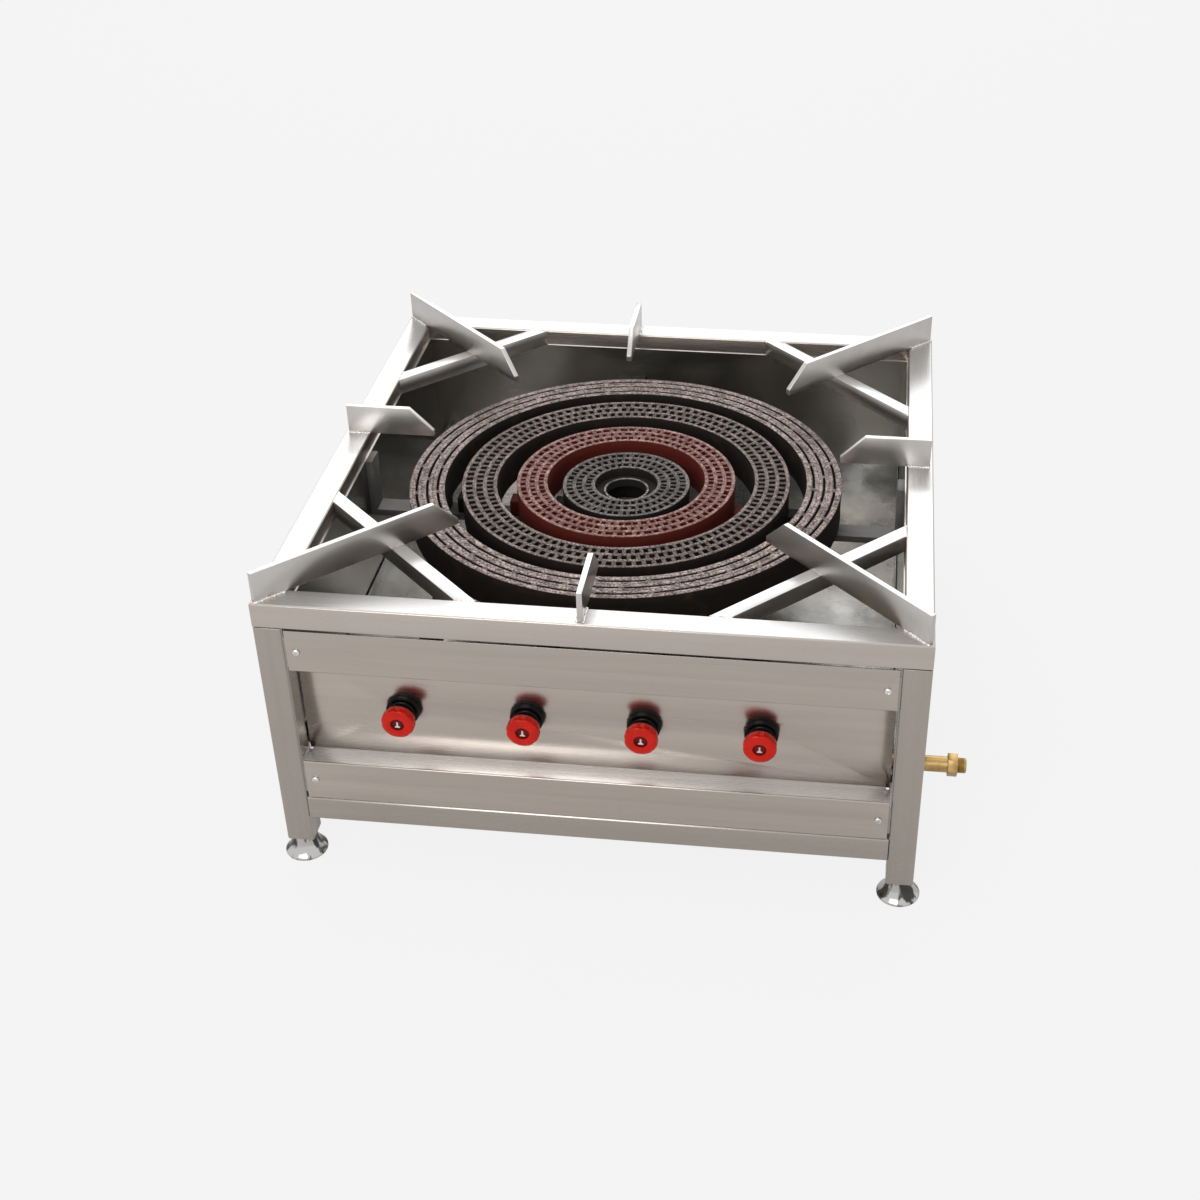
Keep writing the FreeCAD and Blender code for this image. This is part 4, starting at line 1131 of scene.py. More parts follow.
@dataclass
class PanSupports:
    """Eight bars on edge that carry the pot, with the welds along their feet."""

    edge: float = 0.45 * MM
    thickness: float = 6.0 * MM
    foot: float = 25.0 * MM
    corner_share: float = 1.35
    toe: float = 0.4 * MM
    weld_start_mm: float = 1.5

    def build(self, welds: WeldBeads) -> None:
        """Dress the bars and weld them down.

        Args:
            welds: lays the rows.
        """
        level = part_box("top_rail_front")[1].z
        finishes = {
            grain: CutSteelBar("pan support, %s" % grain.name.lower(), grain, level).make()
            for grain in (Grain.ALONG_X, Grain.ALONG_Y, Grain.RISING, Grain.FALLING)
        }
        for name in SIDES + CORNERS:
            node = "pan_support_" + name
            piece = Bench.softened(node, self.edge)
            dress(piece, finishes[self._grain(name)], STATIC_BODY, "steel_bar", node)
            self._weld(name, node, level, welds)

    @staticmethod
    def _grain(name: str) -> Grain:
        """Which way a bar runs.

        Args:
            name: the bar's side or corner.

        Returns:
            The grain along it.
        """
        if name in ("left", "right"):
            return Grain.ALONG_X
        if name in ("front", "rear"):
            return Grain.ALONG_Y
        return Grain.RISING if name in ("front_left", "rear_right") else Grain.FALLING

    def _weld(self, name: str, node: str, level: float, welds: WeldBeads) -> None:
        """Weld both sides of a bar's foot to the rail.

        Args:
            name: the bar's side or corner.
            node: its CAD node.
            level: the top of the rail.
            welds: lays the rows.
        """
        low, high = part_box(node)
        out_x = {"left": -1, "right": 1}.get(name.split("_")[-1], 0)
        out_y = {"front": -1, "rear": 1}.get(name.split("_")[0], 0)
        outward = Vector((out_x, out_y, 0)).normalized()
        aside = Vector((-outward.y, outward.x, 0))
        middle = (low + high) / 2
        reach = Vector(((high.x - low.x) * out_x / 2, (high.y - low.y) * out_y / 2, 0))
        end = Vector((middle.x, middle.y, level)) + reach
        foot = self.foot
        if out_x and out_y:
            end -= outward * self.thickness / 2
            foot *= self.corner_share
        for side in (-1, 1):
            offset = aside * side * (self.thickness / 2 + self.toe)
            base = end + offset
            welds.row(base - outward * self.weld_start_mm * MM, base - outward * foot)


@dataclass
class Feet:
    """Four chromed levelling feet, flared from the leg to a thin rim."""

    rim: float = 23.7 * MM
    neck: float = 14.0 * MM
    height: float = 24.7 * MM
    rim_height: float = 2.5 * MM
    underside: float = 2.5 * MM
    rounding: float = 0.6 * MM
    fillet: float = 0.5 * MM
    stem: float = 5.0 * MM
    stem_top: float = 59.0 * MM
    steps: int = 14
    sides: int = 96

    def build(self) -> None:
        """Turn one foot and copy it to each leg."""
        chrome = PaintedReflectionChrome("chrome with painted reflection").make()
        master = Bench.lathe("foot", self._profile(), self.sides)
        Bench.smooth(master, 30.0)
        for corner in CORNERS:
            node = "foot_" + corner
            low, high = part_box(node)
            middle = (low + high) / 2
            piece = Bench.copy(master, node + "_dressed", Vector((middle.x, middle.y, 0)))
            dress(piece, chrome, "foot_" + corner, "foot_chrome", node)
        bpy.data.objects.remove(master)

    def _profile(self) -> list[tuple[float, float]]:
        """The foot's outline, from its underside up to the top of its stem.

        Returns:
            Radius and height of each step.
        """
        edge = self.rounding
        steps = [
            (self.rim - self.underside, 0.0), (self.rim - edge, 0.0),
            (self.rim - 0.3 * edge, 0.3 * edge), (self.rim, edge), (self.rim, self.rim_height - edge),
            (self.rim - 0.4 * edge, self.rim_height - 0.2 * edge),
        ]
        width = self.rim - self.neck
        rise = self.height - self.rim_height
        radius = (width ** 2 + rise ** 2) / (2 * width)
        span = math.asin(rise / radius)
        for index in range(1, self.steps + 1):
            angle = span * (1 - index / self.steps)
            across = min(self.neck + radius * (1 - math.cos(angle)), self.rim - 0.5 * edge)
            steps.append((across, self.height - radius * math.sin(angle)))
        steps += [(self.stem + self.fillet, self.height), (self.stem, self.height)]
        return steps + [(self.stem, self.stem_top)]


@dataclass
class Panels:
    """The two strips and the valve panel of the front, the side and rear panels, and the screws."""

    edge: float = 0.5 * MM
    fold: float = 1.2 * MM
    trim: float = 1.9 * MM
    rising: float = 0.1
    head_radius: float = 4.0 * MM
    head_height: float = 2.4 * MM
    head_wall: float = 0.3 * MM
    head_sink: float = 0.2 * MM
    crown_steps: int = 8
    slot_width: float = 0.9 * MM
    slot_length: float = 4.4 * MM
    slot_depth: float = 1.2 * MM
    slot_turn: float = math.radians(25)

    def build(self) -> None:
        """Dress the panels and make the screws."""
        front = BrushedSteel(
            "front sheet", Grain.ALONG_X, base=(0.50, 0.44, 0.392), roughness=0.25, grime=0.15,
            stretch=0.45,
        ).make()
        # The sheets inside and at the back take a darker base, painted shade, and heavier grime.
        shaded_and_grimy = {"base": (0.35, 0.33, 0.30), "roughness": 0.2, "grime": 0.6, "stretch": 0.75}
        inner = BrushedSteel("inner sheet", Grain.ALONG_Y, **shaded_and_grimy).make()
        rear = BrushedSteel("rear sheet", Grain.ALONG_X, **shaded_and_grimy).make()
        bright = PaintedLightSatin("satin flange, painted light").make()
        for node in ("front_strip_upper", "front_strip_lower", "valve_panel"):
            dress(Bench.softened(node, self.edge), front, STATIC_BODY, "steel_sheet", node)
        # The lower strip's up-facing flange is painted near white: painted light.
        self._paint_light_on_flange(bright)
        self._raise_edge()
        dress_node("side_panel_left", inner)
        dress_node("side_panel_right", inner)
        dress_node("rear_panel", rear)
        self._screws()

    def _paint_light_on_flange(self, bright: Finish) -> None:
        """Give the flange of the lower strip, the same sheet as the strip, a near-white finish of its
        own: painted light on the up-facing flange.

        Args:
            bright: that finish.
        """
        piece = bpy.data.objects["front_strip_lower_dressed"]
        piece.data.materials.append(bright)
        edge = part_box("front_strip_lower")[0].y + 2 * self.edge + self.fold
        for face in piece.data.polygons:
            if face.center.y > edge:
                face.material_index = 1

    def _raise_edge(self) -> None:
        """Trim the upper strip closer to the rail above it."""
        piece = bpy.data.objects["front_strip_upper_dressed"]
        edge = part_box("front_strip_upper")[1].z - 2 * self.edge
        Bench.edit(piece)
        Bench.pick_faces(piece, lambda centre, normal: centre.z > edge and normal.z > self.rising)
        bpy.ops.transform.translate(value=(0, 0, self.trim))
        Bench.done()

    def _screws(self) -> None:
        """Dome one cross-headed screw and copy it to both ends of the two strips."""
        zinc = TurnedMetal(
            "zinc screw", Axis.Y, (0.74, 0.73, 0.71), (0.45, 0.43, 0.40), 0.16, 0.05,
        ).make()
        steps = [(self.head_radius - 0.4 * MM, -self.head_sink), (self.head_radius, self.head_wall)]
        crown = self.head_height - self.head_wall
        for index in range(1, self.crown_steps):
            angle = math.pi / 2 * index / self.crown_steps
            height = self.head_wall + crown * math.sin(angle)
            steps.append((self.head_radius * math.cos(angle), height))
        steps.append((0.3 * MM, self.head_height))
        screw = Bench.lathe("screw", steps, 48)
        half = Vector((self.slot_length / 2, self.slot_width / 2, self.slot_depth))
        crest = Vector((0, 0, self.head_height))
        for turn in (0.0, math.pi / 2):
            blade = Bench.block("blade", -half, half)
            Bench.place(blade, crest, Euler((0, 0, turn + self.slot_turn)))
            Bench.cut(screw, blade)
        Bench.smooth(screw, 30.0)
        Bench.place(screw, turn=AXIS_TO_FRONT)
        low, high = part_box("panel_screws")
        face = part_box("front_strip_upper")[0].y
        copies = []
        for x in (low.x + self.head_radius, high.x - self.head_radius):
            for z in (low.z + self.head_radius, high.z - self.head_radius):
                copies.append(Bench.copy(screw, "screw_copy", Vector((x, face, z))))
        bpy.data.objects.remove(screw)
        screws = Bench.join(copies, "panel_screws_dressed")
        dress(screws, zinc, STATIC_BODY, "screw_steel", "panel_screws")


@dataclass
class SpillTray:
    """The bright tray under the rings."""

    def build(self) -> None:
        """Dress the tray."""
        dress_node("spill_tray", MottledSheet("tray sheet").make())


@dataclass
class ValveControls:
    """Hand wheels, collars and brass bodies of the four valves."""

    wheel: float = 18.0 * MM
    wheel_thickness: float = 12.0 * MM
    wheel_edge: float = 2.2 * MM
    lobes: int = 8
    hollow: float = 7.0 * MM
    hollow_depth: float = 1.3 * MM
    dish: float = 7.5 * MM
    dish_depth: float = 3.0 * MM
    hub: float = 8.0 * MM
    hub_end: float = 18.0 * MM
    hub_fillet: float = 0.8 * MM
    spindle: float = 4.0 * MM
    spindle_end: float = 59.0 * MM
    spindle_chamfer: float = 1.0 * MM
    core: float = 0.5 * MM
    # Outline of the bright blade that copies the screw's highlight in the recess: painted highlight.
    painted_glint_foot: float = 2.9 * MM
    painted_glint_low: float = 4.0 * MM
    painted_glint_sill: float = 1.3 * MM
    painted_glint_steps: tuple[tuple[float, float], ...] = ((1.2 * MM, 0.36), (5.0 * MM, 0.7))
    collar: float = 18.0 * MM
    collar_flange: float = 6.0 * MM
    collar_nose: float = 12.0 * MM
    collar_bore: float = 9.3 * MM
    collar_groove: float = 1.1 * MM
    collar_ridge: float = 0.8 * MM

    def build(self) -> None:
        """Make and dress the pieces of every valve."""
        red = GlossyPlastic("red hand wheel", (0.70, 0.012, 0.002), 0.24).make()
        shaded_red = GlossyPlastic("red recess, painted shade", (0.16, 0.002, 0.001), 0.5).make()
        zinc = TurnedMetal(
            "zinc blade, painted highlight", Axis.Y, (0.78, 0.77, 0.75), (0.5, 0.48, 0.45), 0.2, 0.03,
        ).make()
        black = GlossyPlastic("black collar", (0.003, 0.003, 0.003), 0.2, gloss=0.12).make()
        brass = TurnedMetal(
            "valve brass", Axis.Y, (0.66, 0.48, 0.22), (0.36, 0.24, 0.11), 0.28,
        ).make()
        wheel = self._wheel()
        recess = self._recess_shade()
        painted_glint = self._pointer()
        for number in VALVES:
            node = "valve_knob_%d" % number
            low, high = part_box(node)
            at = Vector(((low.x + high.x) / 2, low.y, (low.z + high.z) / 2))
            body = "knob_%d" % number
            dress(Bench.copy(wheel, node + "_wheel", at), red, body, "knob_red", node)
            # The darker red sheet in the wheel's recess: painted shade.
            dress(Bench.copy(recess, node + "_recess_shade", at), shaded_red, body, "knob_red")
            # The bright blade shaped like the screw's highlight: painted highlight.
            dress(Bench.copy(painted_glint, node + "_pointer", at), zinc, body, "knob_red")
            dress_node("gas_valve_%d" % number, brass)
        for master in (wheel, recess, painted_glint):
            bpy.data.objects.remove(master)
        self._collars(black)

    def _wheel(self) -> Piece:
        """Turn the hand wheel, hub and spindle, and hollow its rim for the fingers.

        Returns:
            The wheel, its front on the plane Y = 0 and its back towards +Y.
        """
        edge, rim, top = self.wheel_edge, self.wheel, self.wheel_thickness
        tip = self.spindle_end - self.spindle_chamfer
        wheel = Bench.lathe("wheel", [
            (self.dish, 0.0), (rim - 2.6 * edge, 0.0), (rim - 1.5 * edge, 0.10 * edge),
            (rim - 0.7 * edge, 0.42 * edge), (rim - 0.2 * edge, 0.9 * edge), (rim, 1.7 * edge),
            (rim, top - edge), (rim - 0.3 * edge, top - 0.3 * edge), (rim - edge, top),
            (self.hub + self.hub_fillet, top), (self.hub, top + self.hub_fillet),
            (self.hub, self.hub_end), (self.spindle, self.hub_end), (self.spindle, tip),
            (self.spindle - self.spindle_chamfer, self.spindle_end), (self.core, self.spindle_end),
            (self.core, self.dish_depth), (self.dish - 0.4 * MM, self.dish_depth),
            (self.dish - 0.1 * MM, 0.5 * MM),
        ], 128, closed=True)
        reach = rim + self.hollow - self.hollow_depth
        for index in range(self.lobes):
            angle = 2 * math.pi * index / self.lobes
            Bench.clear()
            bpy.ops.mesh.primitive_cylinder_add(
                vertices=48, radius=self.hollow, depth=4 * top,
                location=(reach * math.cos(angle), reach * math.sin(angle), 0),
            )
            Bench.cut(wheel, bpy.context.object)
        Bench.bevel(wheel, 0.5 * MM, 2, 28.0)
        Bench.smooth(wheel, 40.0)
        Bench.place(wheel, turn=AXIS_TO_BACK)
        return wheel

    def _recess_shade(self) -> Piece:
        """A darker red sheet laid in the recess of the wheel's face: painted shade.

        Returns:
            The sheet, placed as the wheel is.
        """
        depth, radius, middle = self.dish_depth, self.dish, 2.4 * MM
        back = depth + 0.2 * MM
        shade_sheet = Bench.lathe("recess", [
            (radius - 0.75 * MM, 0.35 * MM), (radius - 1.2 * MM, 0.5 * MM),
            (radius - 1.5 * MM, depth - 0.8 * MM), (middle, depth - 0.5 * MM), (middle, back),
            (radius - 0.6 * MM, back),
        ], 64, closed=True)
        Bench.smooth(shade_sheet, 35.0)
        Bench.place(shade_sheet, turn=AXIS_TO_BACK)
        return shade_sheet

    def _pointer(self) -> Piece:
        """A bright zinc blade in the recess, narrow on a broad foot, shaped like the highlight on the
        screw there: a painted highlight.

        Returns:
            The blade, placed as the wheel is.
        """
        foot, low = self.painted_glint_foot, -self.painted_glint_low
        face, back = 0.9 * MM, self.dish_depth - 0.2 * MM
        painted_glint = Bench.block(
            "painted_glint", Vector((-foot, low, face)), Vector((foot, low + self.painted_glint_sill, back)),
        )
        for rise, narrowing in self.painted_glint_steps:
            Bench.edit(painted_glint)
            top = max(vertex.co.y for vertex in painted_glint.data.vertices)
            near = top - 0.1 * MM
            Bench.pick_faces(painted_glint, lambda centre, normal: normal.y > 0.9 and centre.y > near)
            bpy.ops.mesh.extrude_region_move(TRANSFORM_OT_translate={"value": (0, rise, 0)})
            bpy.ops.transform.resize(value=(narrowing, 1, 1), center_override=(0, top + rise, 0))
            Bench.done()
        Bench.bevel(painted_glint, 0.25 * MM)
        Bench.smooth(painted_glint)
        Bench.place(painted_glint, turn=Euler((math.radians(90), 0, math.radians(180))))
        return painted_glint

    def _collars(self, black: Finish) -> None:
        """Turn one ribbed collar and copy it in front of the panel at each valve.

        Args:
            black: its material.
        """
        low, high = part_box("valve_collars")
        length = high.y - low.y
        bore, rim, nose = self.collar_bore, self.collar, self.collar_nose
        ridge, flange, groove = self.collar_ridge, self.collar_flange, rim - self.collar_groove
        collar = Bench.lathe("collar", [
            (bore, 0.0), (rim - ridge, 0.0), (rim, ridge), (rim, 2.2 * MM), (groove, 2.8 * MM),
            (groove, 3.4 * MM), (rim, 4.0 * MM), (rim, flange - ridge), (rim - ridge, flange),
            (nose + 1.5 * MM, flange), (nose, flange + 1.5 * MM), (nose, length - 1.2 * MM),
            (nose - 0.4 * MM, length - 0.4 * MM), (nose - 1.2 * MM, length), (bore, length),
        ], 96, closed=True)
        Bench.bevel(collar, 0.3 * MM, 2, 35.0)
        Bench.smooth(collar, 35.0)
        Bench.place(collar, turn=AXIS_TO_FRONT)
        copies = []
        for number in VALVES:
            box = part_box("valve_knob_%d" % number)
            x = (box[0].x + box[1].x) / 2
            z = (box[0].z + box[1].z) / 2
            copies.append(Bench.copy(collar, "collar_copy", Vector((x, high.y, z))))
        bpy.data.objects.remove(collar)
        collars = Bench.join(copies, "valve_collars_dressed")
        dress(collars, black, STATIC_BODY, "collar_black", "valve_collars")


@dataclass
class GasLine:
    """Manifold, brass inlet and mixing tubes."""

    pipe: float = 8.6 * MM
    bore: float = 6.0 * MM
    hex_flats: float = 22.0 * MM
    hex_length: float = 10.6 * MM
    hex_chamfer: float = 1.2 * MM
    thread: float = 8.33 * MM
    thread_length: float = 9.4 * MM
    thread_depth: float = 0.55 * MM
    pitch: float = 1.34 * MM
    runout: float = 0.8 * MM

    def build(self) -> None:
        """Dress the manifold and mixing tubes, and make the inlet."""
        pipe = DullPaint("dark gas pipe", (0.045, 0.042, 0.040), (0.11, 0.10, 0.09), 0.42).make()
        dress_node("gas_manifold", pipe)
        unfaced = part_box("mixing_tube_1")[1].z + 1.0
        iron = CastIron("mixing tube iron", unfaced).make()
        for number in VALVES:
            dress_node("mixing_tube_%d" % number, iron)
        self._inlet()

    def _inlet(self) -> None:
        """Turn the inlet with its thread, and set a chamfered hexagon on it."""
        brass = TurnedMetal(
            "bright brass", Axis.X, (0.50, 0.335, 0.14), (0.30, 0.185, 0.07), 0.32,
        ).make()
        low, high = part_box("gas_inlet")
        length = high.x - low.x
        thread_start = length - self.thread_length
        hex_start = thread_start - self.hex_length
        root = self.thread - self.thread_depth
        profile = [(self.bore, 0.0), (self.pipe, 0.0), (self.pipe, thread_start + self.runout / 2)]
        turns = int((self.thread_length - 2 * self.runout) / self.pitch)
        for turn in range(turns):
            start = thread_start + self.runout + turn * self.pitch
            profile += [(root, start), (self.thread, start + 0.5 * self.pitch)]
        mouth = length - 0.5 * MM
        profile += [(root, mouth), (self.bore + 0.8 * MM, length), (self.bore, mouth)]
        bar = Bench.lathe("inlet_bar", profile, 64, closed=True)
        corner, sliver = self.hex_flats / math.sqrt(3), 0.01 * MM
        flat = self.hex_flats / 2 - self.hex_chamfer
        nut = Bench.lathe("inlet_nut", [
            (flat, hex_start), (corner, hex_start + sliver), (corner, thread_start - sliver),
            (flat, thread_start),
        ], 6)
        Bench.bevel(nut, 0.7 * MM)
        piece = Bench.join([bar, nut], "gas_inlet_dressed")
        Bench.smooth(piece, 30.0)
        middle = (low + high) / 2
        Bench.place(piece, Vector((low.x, middle.y, middle.z)), AXIS_TO_RIGHT)
        dress(piece, brass, STATIC_BODY, "inlet_brass", "gas_inlet")


@dataclass
class PerforatedRing:
    """One cast ring: a body with pads and ears, and rows of ports or slots in its faced top."""

    number: int
    inner: float
    outer: float
    ports: tuple[int, ...]
    wall: Colour
    top: Colour
    slotted: bool = False
    height: float = 42.0 * MM
    pad_width: float = 24.0 * MM
    ear_reach: float = 11.0 * MM
    ear_width: float = 20.0 * MM
    ear_height: float = 20.0 * MM
    margin: float = 2.2 * MM
    ridge: float = 0.5 * MM
    row_depth: float = 11.0 * MM
    corner: float = 0.5 * MM
    chamfer: float = 0.15 * MM
    slope: float = 0.7 * MM
    crown: float = 0.05 * MM
    port_lip: float = 0.35 * MM
    port_taper: float = 0.25 * MM
    port_depth: float = 6.5 * MM
    draft: float = 0.35 * MM
    bead: float = 0.1 * MM

    def build(self, centre: Vector, bar_top: float) -> None:
        """Make the ring in place.

        Args:
            centre: the middle of the burner, seen from above.
            bar_top: the top of the cross bar that it stands on.
        """
        node = "burner_ring_%d" % self.number
        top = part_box(node)[1].z
        base = top - self.height
        rows = [self._row(index, top) for index in range(len(self.ports))]
        pieces = rows + [self._body(base, top)] + self._pads(base, bar_top)
        ring = Bench.join(pieces, node + "_dressed")
        Bench.place(ring, Vector((centre.x, centre.y, 0)))
        finish = CastIron("cast ring %d" % self.number, top, wall=self.wall, top=self.top).make()
        slot = "burner_oxide" if self.number == 2 else "burner_iron"
        dress(ring, finish, STATIC_BODY, slot, node)

    def _row(self, index: int, top: float) -> Piece:
        """One row of ports: a turned band with a rounded ridge on each side, its ports pushed in.

        Args:
            index: the row, from the inside.
            top: the height of the ring's top.

        Returns:
            The band.
        """
        step = (self.outer - self.inner - 2 * self.margin) / len(self.ports)
        start = self.inner + self.margin + index * step
        first = self.inner if index == 0 else start
        last = self.outer if index == len(self.ports) - 1 else start + step
        land, sides_per_port, open_sides = (4.6 * MM, 10, 9) if self.slotted else (2.2 * MM, 5, 3)
        port_start = start + land
        port_end = start + step - land
        count = self.ports[index]
        base, web = top - self.row_depth, top - self.ridge
        crown, shoulder, edge = top - self.crown, top - self.chamfer, top - self.corner
        band = Bench.lathe("row_%d" % index, [
            (first, base), (first, edge), (first + self.chamfer, shoulder),
            (first + self.corner, top), (port_start - self.slope, crown), (port_start, web),
            (port_end, web), (port_end + self.slope, crown), (last - self.corner, top),
            (last - self.chamfer, shoulder), (last, edge), (last, base),
        ], count * sides_per_port, closed=True)
        side_angle = 2 * math.pi / (count * sides_per_port)
        middle = (port_start + port_end) / 2

        def in_port(centre: Vector, normal: Vector) -> bool:
            """Whether a face is in a port's mouth.

            Args:
                centre: the face's centre.
                normal: the face's normal.

            Returns:
                True for a face of the web that a port opens.
            """
            if normal.z < 0.9 or abs(centre.z - web) > 0.1 * MM:
                return False
            if abs(math.hypot(centre.x, centre.y) - middle) > 1.5 * MM:
                return False
            side = int((math.atan2(centre.y, centre.x) % (2 * math.pi)) / side_angle)
            return side % sides_per_port < open_sides

        Bench.edit(band)
        Bench.pick_faces(band, in_port)
        bpy.ops.mesh.inset(thickness=self.port_lip, depth=-self.port_lip, use_boundary=True)
        bpy.ops.mesh.inset(thickness=self.port_taper, depth=-self.port_depth, use_boundary=True)
        Bench.done()
        if index % 2:
            Bench.place(band, turn=Euler((0, 0, math.pi / count)))
        Bench.smooth(band, 25.0)
        return band

    def _body(self, base: float, top: float) -> Piece:
        """The casting under the rows, with a draft on its walls and a bead at the foot.

        Args:
            base: its underside.
            top: the height of the ring's top.

        Returns:
            The body.
        """
        shelf = top - self.row_depth + 0.1 * MM
        neck, shoulder, foot = base + 6 * MM, base + 4 * MM, base + 1 * MM
        inner, outer = self.inner + self.draft, self.outer - self.draft
        bead_in, bead_out = self.inner + self.bead, self.outer - self.bead
        body = Bench.lathe("casting", [
            (inner, shelf), (inner, neck), (bead_in, shoulder), (bead_in, foot),
            (self.inner + 1 * MM, base), (self.outer - 1 * MM, base), (bead_out, foot),
            (bead_out, shoulder), (outer, neck), (outer, shelf),
        ], 192, closed=True)
        Bench.smooth(body)
        return body

    def _pads(self, base: float, bar_top: float) -> list[Piece]:
        """The bearing pads on the cross bar and the ears outside the ring.

        Args:
            base: the ring's underside.
            bar_top: where the pads stand.

        Returns:
            The pads and ears.
        """
        lap = 2 * MM
        spans = [(self.inner + lap, self.outer - lap, self.pad_width, base + lap)]
        if not self.slotted:
            ear_top = bar_top + self.ear_height
            spans.append((self.outer - lap, self.outer + self.ear_reach, self.ear_width, ear_top))
        pieces = []
        for side in (-1, 1):
            for near, far, width, high in spans:
                left, right = sorted((side * near, side * far))
                low_corner = Vector((left, -width / 2, bar_top))
                pad = Bench.block("pad", low_corner, Vector((right, width / 2, high)))
                Bench.bevel(pad, 1.5 * MM, 3)
                Bench.smooth(pad)
                pieces.append(pad)
        return pieces


@dataclass
class RingBurner:
    """Four concentric rings, the lug behind them, and the bar and bolts under them."""

    iron_top: Colour = (0.30, 0.235, 0.21)
    outer_top: Colour = (0.42, 0.335, 0.305)
    inner_top: Colour = (0.20, 0.18, 0.168)
    oxide_top: Colour = (0.33, 0.225, 0.20)
    # Near-black wall colour of the rings, which also fills the port pits: the iron's own dark skin
    # and painted shade.
    iron_wall: Colour = (0.013, 0.0095, 0.008)
    oxide_wall: Colour = (0.115, 0.014, 0.009)
    lug_wall: Colour = (0.004, 0.004, 0.004)
    lug_top: Colour = (0.01, 0.01, 0.01)
    seat_wall: Colour = (0.02, 0.018, 0.017)
    seat_top: Colour = (0.30, 0.28, 0.26)
    bar_edge: float = 0.7 * MM
    lug_edge: float = 1.2 * MM
    seat_bore: float = 24.0 * MM
    seat_depth: float = 9.0 * MM
    seat_lap: float = 0.4 * MM
    seat_rim: float = 1.2 * MM

    def build(self) -> None:
        """Make the rings and dress the rest."""
        low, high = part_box("burner_ring_4")
        centre = (low + high) / 2
        iron = self.iron_wall
        rings = (
            PerforatedRing(1, 37 * MM, 75 * MM, (34, 40, 46), iron, self.inner_top),
            PerforatedRing(2, 93 * MM, 129 * MM, (70, 70, 70), self.oxide_wall, self.oxide_top),
            PerforatedRing(3, 152 * MM, 193 * MM, (105, 105, 105), iron, self.iron_top),
            PerforatedRing(4, 213 * MM, 254 * MM, (24, 24, 24), iron, self.outer_top, slotted=True),
        )
        for ring in rings:
            ring.build(centre, low.z)
        self._seat(centre, rings[0])
        paint = DullPaint("grey cross bar", (0.13, 0.125, 0.12), (0.22, 0.20, 0.18), 0.45).make()
        bar = Bench.softened("burner_bar", self.bar_edge)
        dress(bar, paint, STATIC_BODY, "bar_iron", "burner_bar")
        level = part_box("rear_lug")[1].z
        black = CastIron("lug iron", level, wall=self.lug_wall, top=self.lug_top, gloss=0.1).make()
        lug = Bench.softened("rear_lug", self.lug_edge, 3)
        dress(lug, black, STATIC_BODY, "burner_iron", "rear_lug")
        zinc = TurnedMetal("zinc bolt", Axis.Z, (0.62, 0.60, 0.56), (0.35, 0.32, 0.28), 0.3).make()
        dress_node("burner_bolts", zinc)

    def _seat(self, centre: Vector, ring: PerforatedRing) -> None:
        """Turn the stepped seat that is cast inside the bore of the innermost ring.

        Args:
            centre: the middle of the burner, seen from above.
            ring: the innermost ring.
        """
        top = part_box("burner_ring_1")[1].z - self.seat_depth
        bore, rim, step, foot = self.seat_bore, self.seat_rim, -2.5 * MM, -9 * MM
        outside = ring.inner + self.seat_lap
        seat = Bench.lathe("burner_ring_1_seat", [
            (outside, foot), (bore, foot), (bore, 0.6 * MM), (bore + 0.6 * MM, rim),
            (bore + 2.4 * MM, rim), (bore + 3.0 * MM, 0.6 * MM), (bore + 3.4 * MM, step),
            (ring.inner - 3 * MM, -3.5 * MM), (outside, step),
        ], 96, closed=True)
        Bench.smooth(seat)
        Bench.place(seat, Vector((centre.x, centre.y, top)))
        iron = CastIron("seat iron", top + rim, wall=self.seat_wall, top=self.seat_top).make()
        dress(seat, iron, STATIC_BODY, "burner_iron")


# ------------------------------------------------------------------ studio


@dataclass(frozen=True)
class Lamp:
    """A soft rectangular lamp that faces the object."""

    name: str
    at: tuple[float, float, float]
    size: tuple[float, float]
    watts: float
    towards: tuple[float, float, float] = (0.0, 0.0, 0.3)

    def hang(self) -> None:
        """Hang the lamp in its place."""
        data = bpy.data.lights.new(self.name, "AREA")
        data.shape = "RECTANGLE"
        data.size, data.size_y = self.size
        data.energy = self.watts
        lamp = bpy.data.objects.new(self.name, data)
        bpy.context.scene.collection.objects.link(lamp)
        sight = Vector(self.towards) - Vector(self.at)
        lamp.location = self.at
        lamp.rotation_euler = sight.to_track_quat("-Z", "Y").to_euler()


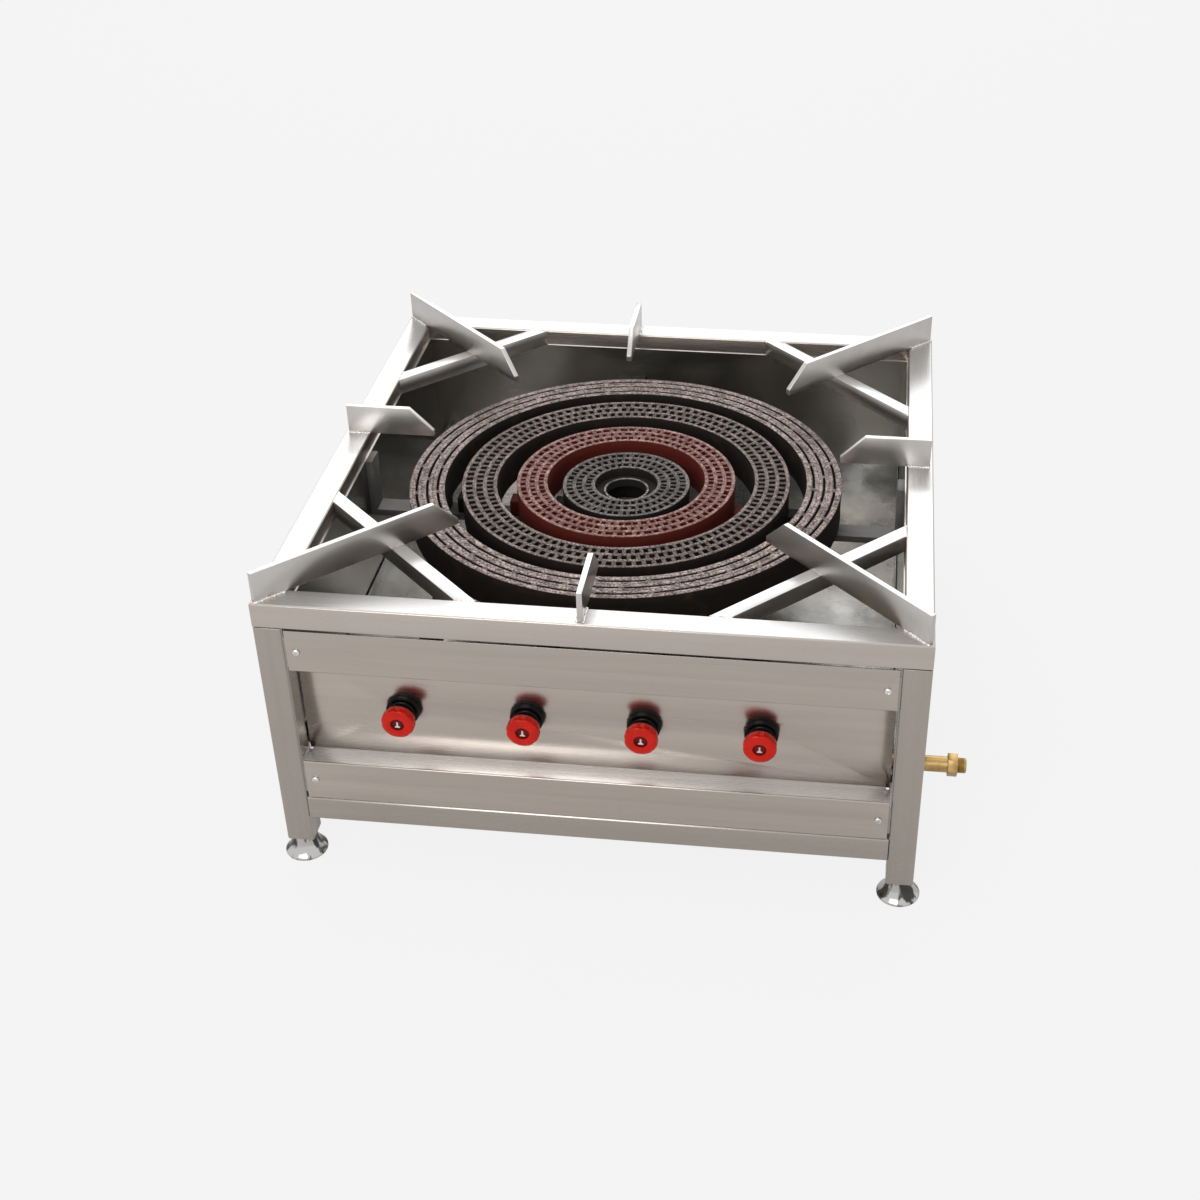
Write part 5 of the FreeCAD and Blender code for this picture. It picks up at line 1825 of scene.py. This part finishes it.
@dataclass
class Studio:
    """Camera, lamps, world and floor."""

    camera_place: tuple[float, float, float] = (0.24325, -1.766, 1.3508)
    yaw: float = 6.69
    pitch: float = 33.72
    roll: float = -0.26
    lens: float = 52.29
    sensor: float = 36.0
    shift: tuple[float, float] = (-0.0667, -0.0117)
    clip: tuple[float, float] = (0.05, 60.0)
    floor_size: float = 30.0
    floor_drop: float = 0.4 * MM
    pale: Colour = (0.922, 0.922, 0.922)
    floor_tone: Colour = (0.8, 0.8, 0.8)
    ambient: Colour = (0.42, 0.42, 0.43)
    seen_share: float = 0.93
    mirrored_share: float = 0.42
    lamps: tuple[Lamp, ...] = (
        Lamp("rear panel lamp", (-0.6, 3.6, 2.5), (5.4, 3.4), 74.0),
        Lamp("front panel lamp", (-0.9, -3.1, 2.6), (2.5, 1.6), 46.0),
        Lamp("overhead lamp", (-0.2, 0.1, 3.2), (2.0, 1.4), 14.0),
    )

    def build(self) -> None:
        """Set the studio up round the object."""
        bpy.context.scene.view_settings.view_transform = "Standard"
        self._camera()
        self._world()
        self._floor()
        for lamp in self.lamps:
            lamp.hang()

    def _camera(self) -> None:
        """Make the camera that stands where the photograph was taken."""
        data = bpy.data.cameras.new("photo camera")
        data.sensor_width = self.sensor
        data.lens = self.lens
        data.shift_x, data.shift_y = self.shift
        data.clip_start, data.clip_end = self.clip
        camera = bpy.data.objects.new("photo camera", data)
        bpy.context.scene.collection.objects.link(camera)
        turn = Matrix.Rotation(math.radians(self.yaw), 4, "Z")
        tilt = Matrix.Rotation(math.radians(90.0 - self.pitch), 4, "X")
        twist = Matrix.Rotation(math.radians(self.roll), 4, "Z")
        camera.matrix_world = Matrix.Translation(self.camera_place) @ turn @ tilt @ twist
        bpy.context.scene.camera = camera

    def _backdrop_share(self, graph: Graph) -> Socket:
        """How much of the floor is plain backdrop: most for the camera, less for mirrored rays.

        Args:
            graph: the tree that needs it.

        Returns:
            The share's socket.
        """
        path = graph.add("ShaderNodeLightPath").outputs
        mirrored = graph.math("MAXIMUM", path["Is Glossy Ray"], path["Is Transmission Ray"])
        seen = graph.math("MULTIPLY", path["Is Camera Ray"], self.seen_share)
        return graph.math("MAXIMUM", seen, graph.math("MULTIPLY", mirrored, self.mirrored_share))

    def _world(self) -> None:
        """A pale world to look at, and a softer one that lights."""
        world = bpy.data.worlds.new("studio")
        world.use_nodes = True
        bpy.context.scene.world = world
        graph = Graph(world.node_tree)
        background = world.node_tree.nodes["Background"]
        path = graph.add("ShaderNodeLightPath").outputs
        seen = graph.math("MAXIMUM", path["Is Camera Ray"], path["Is Glossy Ray"])
        seen = graph.math("MAXIMUM", seen, path["Is Transmission Ray"])
        graph.feed(background.inputs["Color"], graph.blend(seen, self.ambient, self.pale))
        graph.feed(background.inputs["Strength"], 1.0)

    def _floor(self) -> None:
        """A wide pale floor that keeps a soft shadow."""
        Bench.clear()
        bpy.ops.mesh.primitive_plane_add(size=self.floor_size, location=(0, 0, -self.floor_drop))
        floor = bpy.context.object
        floor.name = "floor"
        material = bpy.data.materials.new("floor")
        material.use_nodes = True
        graph = Graph(material.node_tree)
        nodes = material.node_tree.nodes
        shader = nodes["Principled BSDF"]
        graph.feed(shader.inputs["Base Color"], self.floor_tone)
        graph.feed(shader.inputs["Roughness"], 0.9)
        glow = graph.put("ShaderNodeEmission", {"Color": self.pale})
        shares = {0: self._backdrop_share(graph), 1: shader.outputs[0], 2: glow}
        mixed = graph.put("ShaderNodeMixShader", shares)
        graph.feed(nodes["Material Output"].inputs["Surface"], mixed)
        floor.data.materials.append(material)


def main() -> None:
    """Build the studio and every sub-assembly in order."""
    Studio().build()
    LOG.info("studio: camera, lamps, world and floor")
    welds = WeldBeads()
    WeldedFrame().build(welds)
    PanSupports().build(welds)
    welds.finish_rows("frame_welds")
    Feet().build()
    Panels().build()
    SpillTray().build()
    ValveControls().build()
    GasLine().build()
    RingBurner().build()


if __name__ == "__main__":
    logging.basicConfig(level=logging.INFO, format="%(name)s: %(message)s")
    main()
